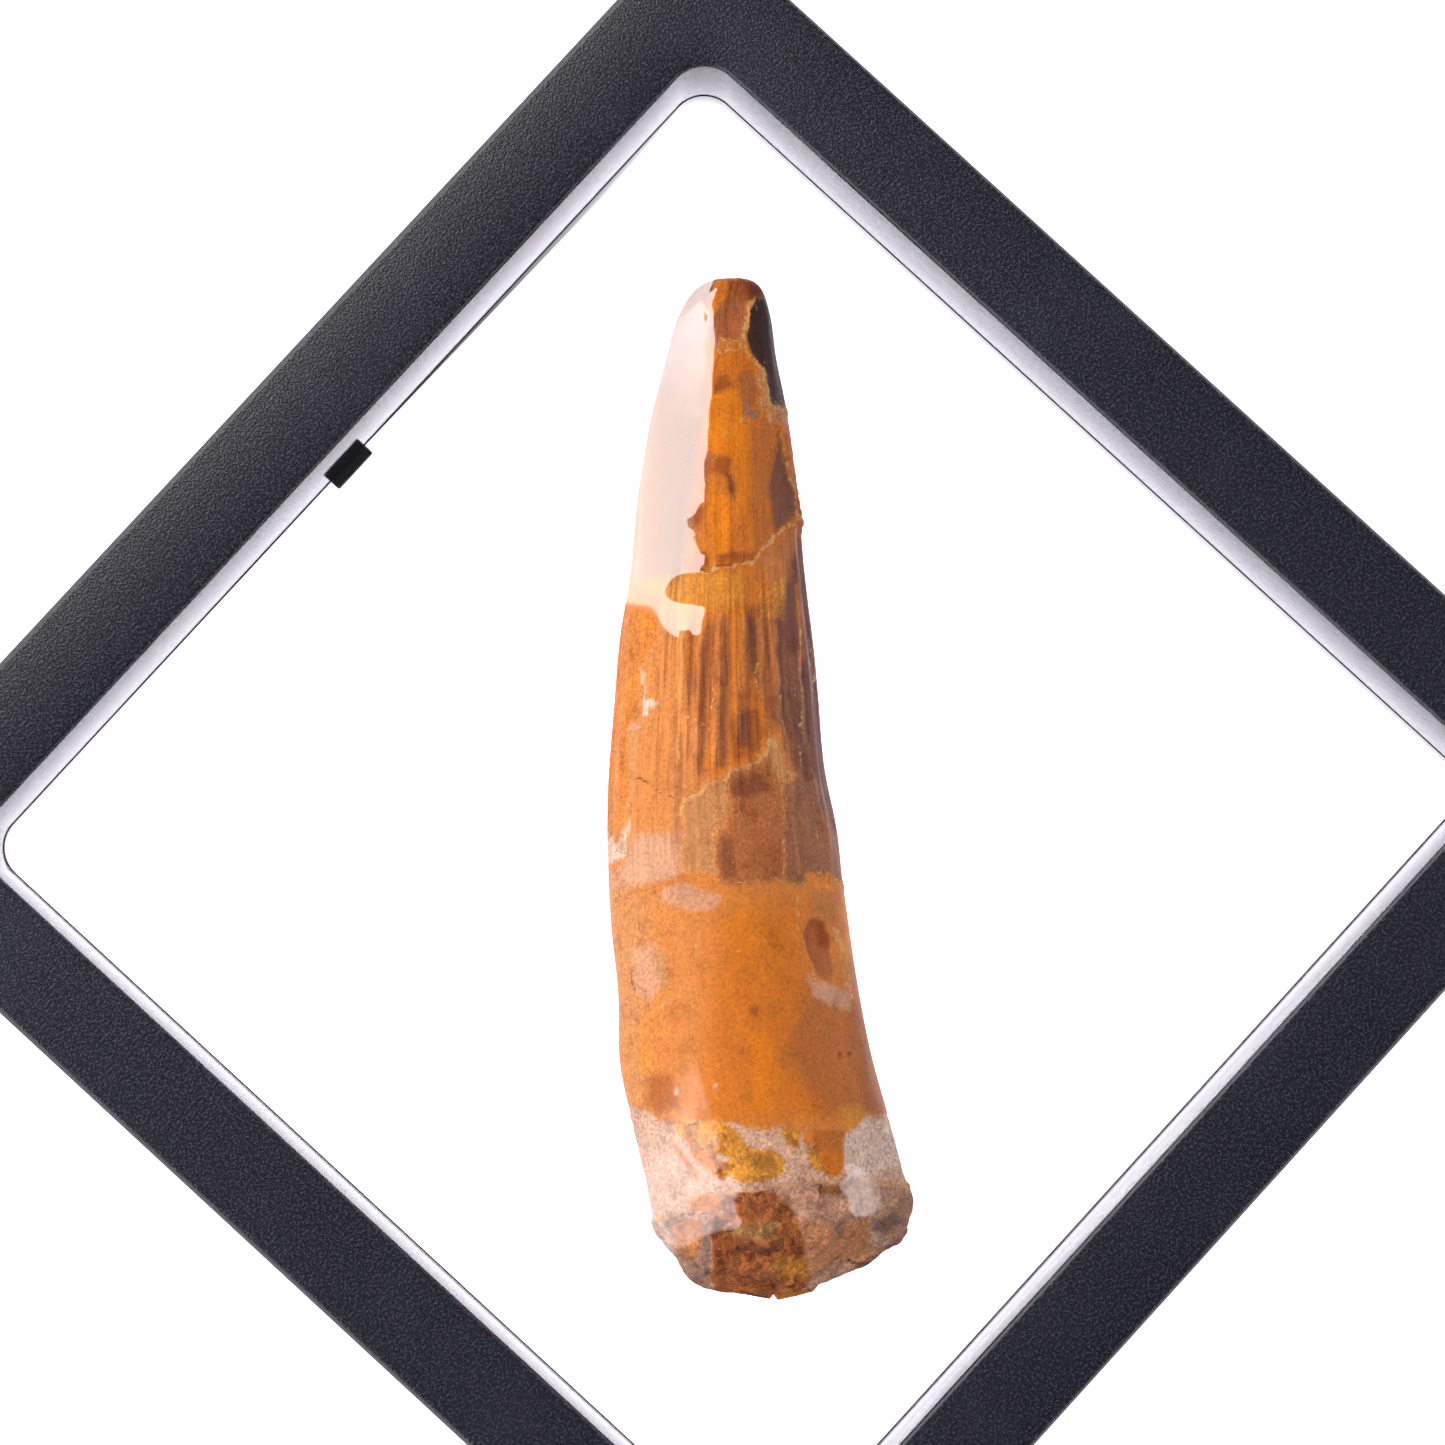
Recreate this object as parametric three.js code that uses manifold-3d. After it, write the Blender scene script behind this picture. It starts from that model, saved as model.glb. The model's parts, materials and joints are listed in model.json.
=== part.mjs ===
// Framed fossil tooth: a square hinged display frame, lying on its back, whose two clear
// stretched films meet at the parting plane and hold a spinosaurus tooth between them.
// Units are millimetres, +Z is up, and the frame's sides run along X and Y.

import * as THREE from 'three';
import { mergeVertices } from 'three/addons/utils/BufferGeometryUtils.js';
import Module from 'manifold-3d';

const wasm = await Module();
wasm.setup();

// Frame
const FRAME_SIZE = 110;
const FRAME_DEPTH = 20;
const BORDER = 8.5;
const WALL = 1.6;
const DRAFT = 0.545;
const OUTER_CORNER = 6;
const INNER_CORNER = 3.2;
const FACE_FILLET = 1.0;
const OPENING_FILLET = 0.45;
const FILLET_STEPS = 2;
const CORNER_STEPS = 6;
const PARTING_CHAMFER = 0.3;
const OUTER_RIM_DROP = 0.07;
const INNER_RIM_DROP = 0.18;
const HALF_SIZE = FRAME_SIZE / 2;
const HALF_DEPTH = FRAME_DEPTH / 2;
const WALL_FACE = HALF_SIZE - WALL;

// Hinge: lugs with a peg on the back half, a bored knuckle on the front half
const HINGE_PLACES = [-38, 38];
const HINGE_RADIUS = 1.6;
const HINGE_STAND_OFF = 0.15;
const HINGE_GAP = 0.3;
const LUG_LENGTH = 3;
const KNUCKLE_LENGTH = 4;
const PEG_RADIUS = 0.8;
const BORE_RADIUS = 0.95;
const ROUND_SIDES = 12;
const HINGE_Y = -HALF_SIZE - HINGE_STAND_OFF;
const HINGE_REACH = HINGE_STAND_OFF + HINGE_RADIUS;

// Snap latch opposite the hinge: a tongue on the front half, its recess in the back half
const TONGUE_WIDTH = 8;
const TONGUE_THICKNESS = 0.9;
const TONGUE_REACH = 3;
const TONGUE_ROOT = 2;
const LATCH_GAP = 0.3;
const CATCH_LOW = 7.8;
const CATCH_HIGH = 8.6;
const CATCH_BITE = 0.25;

// Small tab that stands out of the inner wall beside the latch
const TAB_WIDTH = 4.4;
const TAB_REACH = 1.0;
const TAB_HEIGHT = 0.8;
const TAB_CORNER = 0.6;

// Films
const FILM_THICKNESS = 0.12;
const FILM_STAND_OFF = 0.03;
const FILM_RIM = 47;
const FILM_FREE = 44.8;
const FILM_CELLS = 16;
const FILM_CLEARANCE = 0.3;
const FILM_SETTLING = 400;

// Tooth from its tip to its broken end: place along it, left edge, right edge, half thickness
const TOOTH_STATIONS = [
  [47.3, 1.6, 1.6, 0],
  [47.1, -0.1, 3.4, 1.9],
  [46.2, -1.7, 4.5, 3.0],
  [43.7, -3.2, 5.15, 3.9],
  [40.2, -4.3, 5.45, 4.5],
  [34.8, -5.9, 6.25, 5.3],
  [28.5, -7.15, 6.7, 6.0],
  [22.3, -7.95, 6.9, 6.5],
  [16.2, -9.15, 7.3, 6.95],
  [10.2, -9.9, 7.65, 7.35],
  [3.8, -10.65, 7.95, 7.65],
  [-2.2, -11.05, 8.85, 7.85],
  [-8.5, -11.15, 9.45, 8.0],
  [-14.8, -10.8, 10.1, 8.15],
  [-21, -10.9, 11.0, 8.25],
  [-26.5, -9.95, 12.25, 8.3],
  [-31.5, -9.1, 13.5, 8.2],
  [-34.6, -8.8, 13.7, 7.3],
  [-37.4, -7.4, 12.0, 5.9],
  [-39.8, -6.2, 8.2, 4.1],
  [-41.2, -2.6, 4.6, 2.0],
  [-41.6, 1.2, 1.2, 0],
];
const TOOTH_SIDES = 56;
const ROWS_PER_STATION = 2;
const TOOTH_TURN = -Math.PI / 4;

// What stands out of the tooth or is sunk in it; places and sizes are [along, across]
const FLUTE_COUNT = 14;
const FLUTE_HEIGHT = 0.24;
const FLUTES_FROM = -3;
const FLUTES_TO = 30;
const CRACK_PLACE = -5.6;
const CRACK_DROP = 0.22;
const LEDGE_PLACE = -32.6;
const LEDGE_DROP = 0.7;
const PIT = { place: [-11.8, 7.0], size: [3.6, 1.9], drop: 0.95 };
const CHIP = { place: [0.6, 4.0], size: [5.6, 5.0], drop: 0.3 };
const TIP_BREAK = { place: [45.0, 1.6], size: [3.6, 3.0], drop: 0.7 };
const LUMP_HEIGHT = 0.4;
const LUMP_WAVE = 1.9;
const FRONT_FROM = 0.05;

const blackPlastic = new THREE.MeshStandardMaterial({ color: 0x1d1d24, roughness: 0.38, metalness: 0 });
const clearFilm = new THREE.MeshStandardMaterial({
  color: 0xf3f6f8, roughness: 0.05, metalness: 0, transparent: true, opacity: 0.25,
});
const toothEnamel = new THREE.MeshStandardMaterial({ color: 0xb4682c, roughness: 0.4, metalness: 0 });

// Closed solid from a geometry, with its seams merged
function solidOf(geometry) {
  geometry.deleteAttribute('normal');
  geometry.deleteAttribute('uv');
  const merged = mergeVertices(geometry, 1e-4);
  return new wasm.Manifold(new wasm.Mesh({
    numProp: 3,
    vertProperties: new Float32Array(merged.attributes.position.array),
    triVerts: new Uint32Array(merged.index.array),
  }));
}

// Named mesh from a solid
function meshOf(name, solid, material) {
  const result = solid.getMesh();
  const geometry = new THREE.BufferGeometry();
  geometry.setAttribute('position', new THREE.Float32BufferAttribute(result.vertProperties, 3));
  geometry.setIndex(new THREE.Uint32BufferAttribute(result.triVerts, 1));
  geometry.computeVertexNormals();
  const mesh = new THREE.Mesh(geometry, material);
  mesh.name = name;
  return mesh;
}

// Box between its lowest and highest corner
function boxBetween(low, high) {
  const size = high.map((value, axis) => value - low[axis]);
  const middle = high.map((value, axis) => (value + low[axis]) / 2);
  return solidOf(new THREE.BoxGeometry(...size).translate(...middle));
}

// Round bar along X on the hinge line
function hingeBar(radius, length, x) {
  const bar = new THREE.CylinderGeometry(radius, radius, length, ROUND_SIDES);
  return solidOf(bar.rotateZ(Math.PI / 2).translate(x, HINGE_Y, HALF_DEPTH));
}

// Quarter round of a section, as [inset, height] points that turn clockwise from a start angle
function quarterRound(inset, height, radius, start) {
  const points = [];
  for (let step = 0; step <= FILLET_STEPS; step += 1) {
    const turn = start - (step / FILLET_STEPS) * Math.PI / 2;
    points.push([inset + radius * Math.cos(turn), height + radius * Math.sin(turn)]);
  }
  return points;
}

// Hollow section of a frame half, as [inset from the outer face, height above its own face]
function frameSection() {
  const outerRim = HALF_DEPTH - OUTER_RIM_DROP;
  const innerRim = HALF_DEPTH - INNER_RIM_DROP;
  const innerWall = BORDER - WALL + DRAFT / 2;
  return [
    ...quarterRound(FACE_FILLET, FACE_FILLET, FACE_FILLET, -Math.PI / 2),
    [0, outerRim - PARTING_CHAMFER],
    [PARTING_CHAMFER, outerRim],
    [WALL, outerRim],
    [WALL, WALL],
    [innerWall, WALL],
    [innerWall + DRAFT, innerRim],
    [BORDER + DRAFT, innerRim],
    ...quarterRound(BORDER - OPENING_FILLET, OPENING_FILLET, OPENING_FILLET, 0),
  ];
}

// Ring of a square with round corners, at one inset and height of the section
function sectionRing([inset, sectionHeight], isFront) {
  const corner = THREE.MathUtils.lerp(OUTER_CORNER, INNER_CORNER, inset / BORDER);
  const cornerCentre = HALF_SIZE - inset - corner;
  const height = isFront ? FRAME_DEPTH - sectionHeight : sectionHeight;
  const ring = [];
  for (let quarter = 0; quarter < 4; quarter += 1) {
    const diagonal = (quarter + 0.5) * Math.PI / 2;
    for (let step = 0; step <= CORNER_STEPS; step += 1) {
      const turn = (quarter + step / CORNER_STEPS) * Math.PI / 2;
      ring.push(new THREE.Vector3(
        cornerCentre * Math.SQRT2 * Math.cos(diagonal) + corner * Math.cos(turn),
        cornerCentre * Math.SQRT2 * Math.sin(diagonal) + corner * Math.sin(turn),
        height,
      ));
    }
  }
  return ring;
}

// Skin over a closed series of equal rings
function loftLoop(rings) {
  const count = rings[0].length;
  const faces = [];
  for (let k = 0; k < rings.length; k += 1) {
    const row = k * count;
    const nextRow = ((k + 1) % rings.length) * count;
    for (let i = 0; i < count; i += 1) {
      const next = (i + 1) % count;
      faces.push(row + i, row + next, nextRow + next);
      faces.push(row + i, nextRow + next, nextRow + i);
    }
  }
  const geometry = new THREE.BufferGeometry().setFromPoints(rings.flat());
  geometry.setIndex(faces);
  return geometry;
}

// Frame half without its hinge, latch and tab
function frameShell(isFront) {
  const rings = frameSection().map((point) => sectionRing(point, isFront));
  return solidOf(loftLoop(isFront ? rings.reverse() : rings));
}

// Middles of the two lugs of one hinge
function lugPlaces(place) {
  const offset = (KNUCKLE_LENGTH + LUG_LENGTH) / 2 + HINGE_GAP;
  return [place - offset, place + offset];
}

// Back half: shell, lugs and pegs, latch recess and tab
function backFrame() {
  let solid = frameShell(false);
  for (const place of HINGE_PLACES) {
    const room = hingeBar(HINGE_RADIUS + HINGE_GAP, KNUCKLE_LENGTH + HINGE_GAP, place);
    solid = solid.subtract(room);
    for (const lug of lugPlaces(place)) {
      solid = solid.add(hingeBar(HINGE_RADIUS, LUG_LENGTH, lug));
    }
    solid = solid.add(hingeBar(PEG_RADIUS, KNUCKLE_LENGTH + LUG_LENGTH, place));
  }
  const recess = boxBetween(
    [-TONGUE_WIDTH / 2 - LATCH_GAP, WALL_FACE - LATCH_GAP, CATCH_LOW - LATCH_GAP],
    [TONGUE_WIDTH / 2 + LATCH_GAP, WALL_FACE + CATCH_BITE + LATCH_GAP, CATCH_HIGH + LATCH_GAP],
  );
  return solid.subtract(recess).add(innerTab());
}

// Tab with round corners, at the middle of the inner wall and just under its rim
function innerTab() {
  const wallFace = HALF_SIZE - BORDER - DRAFT;
  const left = -TAB_WIDTH / 2;
  const right = TAB_WIDTH / 2;
  const tip = wallFace - TAB_REACH;
  const outline = new THREE.Shape();
  outline.moveTo(left, wallFace + WALL / 2);
  outline.lineTo(left, tip + TAB_CORNER);
  outline.quadraticCurveTo(left, tip, left + TAB_CORNER, tip);
  outline.lineTo(right - TAB_CORNER, tip);
  outline.quadraticCurveTo(right, tip, right, tip + TAB_CORNER);
  outline.lineTo(right, wallFace + WALL / 2);
  outline.closePath();
  const settings = { depth: TAB_HEIGHT, bevelEnabled: false, curveSegments: 3 };
  const tab = new THREE.ExtrudeGeometry(outline, settings);
  return solidOf(tab.translate(0, 0, HALF_DEPTH - INNER_RIM_DROP - TAB_HEIGHT));
}

// Front half: shell, knuckles with their bores, latch tongue and its catch
function frontFrame() {
  let solid = frameShell(true);
  for (const place of HINGE_PLACES) {
    for (const lug of lugPlaces(place)) {
      solid = solid.subtract(hingeBar(HINGE_RADIUS + HINGE_GAP, LUG_LENGTH + HINGE_GAP, lug));
    }
    solid = solid.add(hingeBar(HINGE_RADIUS, KNUCKLE_LENGTH, place));
    solid = solid.subtract(hingeBar(BORE_RADIUS, KNUCKLE_LENGTH + LUG_LENGTH, place));
  }
  const half = TONGUE_WIDTH / 2;
  const inner = WALL_FACE - LATCH_GAP - TONGUE_THICKNESS;
  const outer = WALL_FACE - LATCH_GAP;
  const top = FRAME_DEPTH - WALL / 2;
  const tongue = boxBetween([-half, inner, HALF_DEPTH - TONGUE_REACH], [half, outer, top]);
  const root = boxBetween([-half, inner, HALF_DEPTH + TONGUE_ROOT], [half, HALF_SIZE - WALL / 2, top]);
  const hook = boxBetween([-half, outer - LATCH_GAP, CATCH_LOW], [half, WALL_FACE + CATCH_BITE, CATCH_HIGH]);
  return solid.add(tongue).add(root).add(hook);
}

// 1 at the middle of an oval mark of the tooth, 0 at its edge and outside
function inOval(mark, along, across) {
  const reach = Math.hypot(
    (along - mark.place[0]) / mark.size[0],
    (across - mark.place[1]) / mark.size[1],
  );
  return 1 - THREE.MathUtils.smoothstep(reach, 0.55, 1);
}

// How far the tooth's skin stands out from its smooth form
function relief(along, across, turn) {
  const { smoothstep } = THREE.MathUtils;
  const fluted = smoothstep(along, FLUTES_FROM - 3, FLUTES_FROM + 3)
    * (1 - smoothstep(along, FLUTES_TO - 8, FLUTES_TO));
  const stone = 1 - smoothstep(along, LEDGE_PLACE - 0.6, LEDGE_PLACE + 0.6);
  const worn = 1 - smoothstep(along, CRACK_PLACE - 0.8, CRACK_PLACE + 0.8);
  const lumps = Math.sin(LUMP_WAVE * along + 1.3 * across) * Math.sin(4 * turn + LUMP_WAVE * across);
  let height = FLUTE_HEIGHT * fluted * Math.cos(FLUTE_COUNT * turn);
  height -= CRACK_DROP * worn + LEDGE_DROP * stone;
  height += LUMP_HEIGHT * stone * lumps;
  if (Math.sin(turn) > FRONT_FROM) {
    for (const mark of [PIT, CHIP, TIP_BREAK]) {
      height -= mark.drop * inOval(mark, along, across);
    }
  }
  return height;
}

// Tooth with its stone core, lengthwise along its own Y
function toothSolid() {
  const sections = new THREE.CatmullRomCurve3(TOOTH_STATIONS.map(
    ([along, left, right]) => new THREE.Vector3(left, along, right),
  ), false, 'catmullrom', 0.5);
  const depths = new THREE.CatmullRomCurve3(TOOTH_STATIONS.map(
    ([along, , , depth]) => new THREE.Vector3(0, along, depth),
  ), false, 'catmullrom', 0.5);
  const rows = (TOOTH_STATIONS.length - 1) * ROWS_PER_STATION;
  const skin = new THREE.SphereGeometry(1, TOOTH_SIDES, rows);
  const points = skin.attributes.position;
  for (let i = 0; i < points.count; i += 1) {
    const row = Math.acos(THREE.MathUtils.clamp(points.getY(i), -1, 1)) / Math.PI;
    const turn = Math.atan2(points.getZ(i), points.getX(i));
    const { x: left, y: along, z: right } = sections.getPoint(row);
    const depth = depths.getPoint(row).z;
    const halfWidth = (right - left) / 2;
    const middle = (right + left) / 2;
    const isEnd = depth < 1e-3;
    const raised = isEnd ? 0 : relief(along, middle + halfWidth * Math.cos(turn), turn);
    points.setXYZ(
      i,
      middle + (isEnd ? 0 : (halfWidth + raised) * Math.cos(turn)),
      along,
      isEnd ? 0 : (depth + raised) * Math.sin(turn),
    );
  }
  return solidOf(skin);
}

// Places of the film's grid lines: a narrow clamped strip, then even cells
function filmPlace(line) {
  if (line === 0) return -FILM_RIM;
  if (line === FILM_CELLS + 2) return FILM_RIM;
  return THREE.MathUtils.lerp(-FILM_FREE, FILM_FREE, (line - 1) / FILM_CELLS);
}

// Heights of a stretched film over the points that push it out of its plane:
// every free crossing settles at the mean of its neighbours, but never under a point
function filmHeights(pushing) {
  const lines = FILM_CELLS + 3;
  const cell = (2 * FILM_FREE) / FILM_CELLS;
  const least = new Float64Array(lines * lines);
  for (const point of pushing) {
    const column = Math.floor((point.x + FILM_FREE) / cell) + 1;
    const row = Math.floor((point.y + FILM_FREE) / cell) + 1;
    for (const corner of [0, 1, lines, lines + 1]) {
      const crossing = row * lines + column + corner;
      least[crossing] = Math.max(least[crossing], point.z + FILM_CLEARANCE);
    }
  }
  const heights = least.slice();
  for (let round = 0; round < FILM_SETTLING; round += 1) {
    for (let row = 2; row < lines - 2; row += 1) {
      for (let column = 2; column < lines - 2; column += 1) {
        const i = row * lines + column;
        const mean = (heights[i - 1] + heights[i + 1] + heights[i - lines] + heights[i + lines]) / 4;
        heights[i] = Math.max(mean, least[i]);
      }
    }
  }
  return heights;
}

// Film as a thin closed sheet; side is 1 for the front film and -1 for the back one
function filmSolid(side, toothPoints) {
  const lines = FILM_CELLS + 3;
  const pushing = toothPoints.map(({ x, y, z }) => new THREE.Vector3(x, y, side * (z - HALF_DEPTH)));
  const heights = filmHeights(pushing.filter((point) => point.z > 0));
  const points = [];
  for (const offset of [FILM_STAND_OFF, FILM_STAND_OFF + FILM_THICKNESS]) {
    heights.forEach((height, i) => {
      const x = filmPlace(i % lines);
      const y = filmPlace(Math.floor(i / lines));
      points.push(new THREE.Vector3(x, y, HALF_DEPTH + side * (height + offset)));
    });
  }
  const faces = [];
  const quad = (a, b, c, d) => faces.push(...(side > 0 ? [a, b, c, a, c, d] : [a, c, b, a, d, c]));
  const layer = lines * lines;
  for (let row = 0; row < lines - 1; row += 1) {
    for (let column = 0; column < lines - 1; column += 1) {
      const i = row * lines + column;
      quad(layer + i, layer + i + 1, layer + i + lines + 1, layer + i + lines);
      quad(i, i + lines, i + lines + 1, i + 1);
    }
  }
  for (let step = 0; step < lines - 1; step += 1) {
    const edges = [
      [step, step + 1],
      [(step + 1) * lines - 1, (step + 2) * lines - 1],
      [layer - 1 - step, layer - 2 - step],
      [(lines - 1 - step) * lines, (lines - 2 - step) * lines],
    ];
    for (const [from, to] of edges) {
      quad(from, to, layer + to, layer + from);
    }
  }
  const geometry = new THREE.BufferGeometry().setFromPoints(points);
  geometry.setIndex(faces);
  return solidOf(geometry);
}

// Points of a mesh in the space of its parent
function pointsInParent(mesh) {
  mesh.updateMatrix();
  const places = mesh.geometry.attributes.position;
  return Array.from({ length: places.count }, (unused, i) => (
    new THREE.Vector3().fromBufferAttribute(places, i).applyMatrix4(mesh.matrix)
  ));
}

const tooth = meshOf('tooth', toothSolid(), toothEnamel);
tooth.rotation.z = TOOTH_TURN;
tooth.position.z = HALF_DEPTH;
const toothPoints = pointsInParent(tooth);

// The hinge stands out on one side, so the frame is moved until the whole is centred on the origin
const displayFrame = new THREE.Group();
displayFrame.position.y = HINGE_REACH / 2;
displayFrame.add(
  meshOf('back_frame', backFrame(), blackPlastic),
  meshOf('front_frame', frontFrame(), blackPlastic),
  meshOf('back_film', filmSolid(-1, toothPoints), clearFilm),
  meshOf('front_film', filmSolid(1, toothPoints), clearFilm),
  tooth,
);

const framedTooth = new THREE.Group();
framedTooth.add(displayFrame);

export default framedTooth;
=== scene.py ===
import json
import math

import bmesh
import bpy
import numpy as np
from mathutils import Matrix, Vector, noise


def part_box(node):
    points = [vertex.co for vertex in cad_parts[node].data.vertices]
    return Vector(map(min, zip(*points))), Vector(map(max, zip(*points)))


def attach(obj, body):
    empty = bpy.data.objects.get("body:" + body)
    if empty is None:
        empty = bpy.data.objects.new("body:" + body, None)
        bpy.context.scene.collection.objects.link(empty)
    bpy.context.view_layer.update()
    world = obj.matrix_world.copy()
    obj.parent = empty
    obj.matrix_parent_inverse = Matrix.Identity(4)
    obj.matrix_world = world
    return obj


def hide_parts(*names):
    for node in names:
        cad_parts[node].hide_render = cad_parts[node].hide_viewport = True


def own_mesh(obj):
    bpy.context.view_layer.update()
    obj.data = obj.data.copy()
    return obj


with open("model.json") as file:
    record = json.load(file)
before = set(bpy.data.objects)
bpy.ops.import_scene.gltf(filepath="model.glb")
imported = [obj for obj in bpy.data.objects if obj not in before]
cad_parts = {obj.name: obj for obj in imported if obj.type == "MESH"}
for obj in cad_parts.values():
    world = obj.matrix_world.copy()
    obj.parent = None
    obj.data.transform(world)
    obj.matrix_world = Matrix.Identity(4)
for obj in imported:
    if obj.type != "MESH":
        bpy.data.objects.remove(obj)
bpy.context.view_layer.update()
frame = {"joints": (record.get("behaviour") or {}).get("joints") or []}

bl_info = {
    "name": "Framed fossil tooth",
    "version": (1, 0, 0),
    "blender": (4, 5, 0),
    "location": "View3D > Sidebar > Fossil",
    "description": "Fossil tooth held between two clear films in a hinged display frame",
    "category": "Object",
}

MM = 0.001

# What the frame gives: its side, its depth, the middle of its opening and its hinge line
FRAME_LOW, FRAME_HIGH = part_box("back_frame")
SIDE = FRAME_HIGH.x - FRAME_LOW.x
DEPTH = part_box("front_frame")[1].z - FRAME_LOW.z
MIDDLE = Vector((0, FRAME_HIGH.y - SIDE / 2, DEPTH / 2))
HINGE_LINE = Vector(frame["joints"][0]["pos_m"])

# Tooth from its tip to its broken end, in millimetres from the middle of the opening:
# place along it, left edge, right edge and half thickness
TOOTH_STATIONS = np.array([
    [47.3, 1.6, 1.6, 0],
    [47.1, -0.1, 3.4, 1.9],
    [46.2, -1.7, 4.5, 3.0],
    [43.7, -3.2, 5.15, 3.9],
    [40.2, -4.3, 5.45, 4.5],
    [34.8, -5.9, 6.25, 5.3],
    [28.5, -7.15, 6.7, 6.0],
    [22.3, -7.95, 6.9, 6.5],
    [16.2, -9.15, 7.3, 6.95],
    [10.2, -9.9, 7.65, 7.35],
    [3.8, -10.65, 7.95, 7.65],
    [-2.2, -11.05, 8.85, 7.85],
    [-8.5, -11.15, 9.45, 8.0],
    [-14.8, -10.8, 10.1, 8.15],
    [-21, -10.9, 11.0, 8.25],
    [-26.5, -9.95, 12.25, 8.3],
    [-31.5, -9.05, 13.4, 8.2],
    [-33.5, -8.75, 13.9, 7.7],
    [-35.4, -8.35, 13.6, 6.8],
    [-36.9, -7.6, 13.2, 5.9],
    [-38.0, -6.9, 11.8, 5.1],
    [-39.1, -6.05, 10.0, 4.3],
    [-39.9, -5.6, 7.4, 3.5],
    [-40.5, -4.5, 6.0, 2.6],
    [-41.2, -1.2, 4.7, 1.5],
    [-41.6, 1.6, 1.6, 0],
])
TOOTH_TURN = -math.pi / 4


def colour(red, green, blue):
    """Screen colour from 0 to 255 as the scene's own linear colour."""
    values = [channel / 255 for channel in (red, green, blue)]
    linear = [v / 12.92 if v <= 0.04045 else ((v + 0.055) / 1.055) ** 2.4 for v in values]
    return (*linear, 1.0)


# Colours of the tooth
PEACH = colour(234, 160, 98)
APRICOT = colour(238, 150, 76)
OCHRE = colour(246, 164, 56)
SANDY = colour(228, 162, 100)
AMBER = colour(255, 146, 0)
CARAMEL = colour(240, 134, 26)
ROOT_ORANGE = colour(246, 150, 64)
TOFFEE = colour(202, 116, 56)
BURNT = colour(174, 82, 20)
FACET_BROWN = colour(206, 116, 62)
BLOCK_BROWN = colour(204, 120, 66)
CHESTNUT = colour(116, 54, 22)
PLUM = colour(134, 80, 64)
SEAL = colour(74, 40, 32)
RIM_TAN = colour(226, 166, 108)
FLECK_WHITE = colour(250, 234, 214)
LILAC_SAND = colour(250, 222, 206)
UMBER = colour(82, 48, 40)
MOCHA = colour(132, 86, 68)
TAUPE = colour(166, 108, 78)
GREY_BROWN = colour(160, 118, 98)
GOLD = colour(240, 162, 56)
DARK_GOLD = colour(172, 108, 26)
ROSE_SAND = colour(240, 192, 164)
END_SAND = colour(230, 176, 148)
MOSS_SAND = colour(204, 156, 98)
CREAM = colour(248, 224, 200)
# Grey-brown painted on the tooth where the film's reflection lies, as the haze of that reflection
PAINTED_VEIL_HAZE = colour(150, 112, 94)
VIOLET_GREY = colour(134, 104, 110)
PALE_LINE = colour(248, 190, 116)
DARKER = (0.64, 0.5, 0.4, 1)
LIGHTER = (1.28, 1.3, 1.2, 1)

# Colours of the plastic's face where it is smudged, and the lighter colour painted on its grain as glints
SMUDGE = colour(18, 18, 28)
PAINTED_GLINT = colour(50, 50, 62)

# Lines on the front of the tooth, as (along, across) in millimetres: cracks, broken edges, the edge
# of the veil, and the outlines of a pit and of a flat facet at the tip
ENAMEL_CRACK = [
    (25.3, 6.2), (24.3, 4.9), (23, 3.7), (22.2, 2.9), (21.7, 2.3), (21.4, 0.8), (21.3, -0.9), (20.9, -2),
    (21.1, -3.3)
]
STEPPED_CRACK = [
    (0.2, -4.8), (1.3, -4.3), (1.9, -2.7), (2.6, -2.1), (3, -0.6), (3.7, -0.3), (3.8, 1.2), (4.3, 1.7),
    (4.9, 2.9), (6.1, 3.1), (5.9, 3.9)
]
MAIN_CRACK = [
    (-6.5, -10.8), (-5.9, -7.8), (-5.4, -6), (-4.7, -4.6), (-5, -2.2), (-6.1, -1.6), (-6.2, -0.5),
    (-6, 0.5), (-6.2, 1.1), (-5.3, 1.5), (-6.1, 2), (-5.7, 3.2), (-6, 3.7), (-6.5, 5.1), (-5.2, 6.2),
    (-5.4, 7.9), (-6.3, 9.2)
]
ENAMEL_EDGE = [
    (-24.7, -10.2), (-25.1, -8.8), (-26, -7.8), (-26.2, -6.3), (-26.2, -4.2), (-26.3, -1.9), (-27, -0.3),
    (-27.5, 1.4), (-27.1, 2.5), (-27, 3.3), (-27.6, 4.5), (-28.7, 5), (-28.8, 5.8), (-30.1, 6.6),
    (-31.3, 7.1), (-31.3, 8), (-30, 8.2), (-28.4, 8.2), (-27.5, 8.9), (-26.6, 10.4), (-26.2, 12.6)
]
LEDGE = [
    (-34.8, -8.9), (-34.4, -7.2), (-34, -5.6), (-33.2, -5.4), (-32.7, -4.4), (-32.6, -1.8), (-32.4, 0.9),
    (-32.1, 2.2), (-31.9, 5.7), (-31.7, 8.7), (-32.6, 13.6)
]
CRUMB_LINE = [
    (33.5, 5.1), (32.2, 5.5), (30.3, 5.7), (28.2, 6.1), (26.6, 6.4), (25.4, 6.7)
]
VEIL_EDGE = [
    (46.5, 0.5), (45.8, 0.3), (44.3, -0.5), (43.5, 0.2), (42.3, 0.1), (40.7, 0.1), (39.1, -0.1),
    (37.7, -0.1), (35.8, -0.5), (33.8, -0.7), (32.3, -1.4), (29, -1.9), (26.9, -1.7), (25.6, -2.7)
]
PIT_RIM = [
    (-9.9, 8.1), (-11, 8.4), (-13.6, 9.1), (-16.3, 9.3), (-17.4, 9.2)
]
DIAGONAL_RIDGE = [
    (-18.3, -9.4), (-16.7, -7.8), (-15.7, -6.3)
]
PIT = [
    (-9.2, 5.8), (-9.1, 6.8), (-9.6, 7.5), (-11, 7.9), (-11.9, 8), (-13.3, 7.8), (-14.5, 7.7), (-14, 6.7),
    (-12.4, 5.8), (-10.8, 5.5)
]
FACET = [
    (46.6, 1.5), (46.5, 2.7), (45, 3.3), (43, 2.9), (41.7, 2.5), (41.9, 0.7), (43.2, 0.4), (44.7, 0.9),
    (45.9, 1.5)
]
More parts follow.
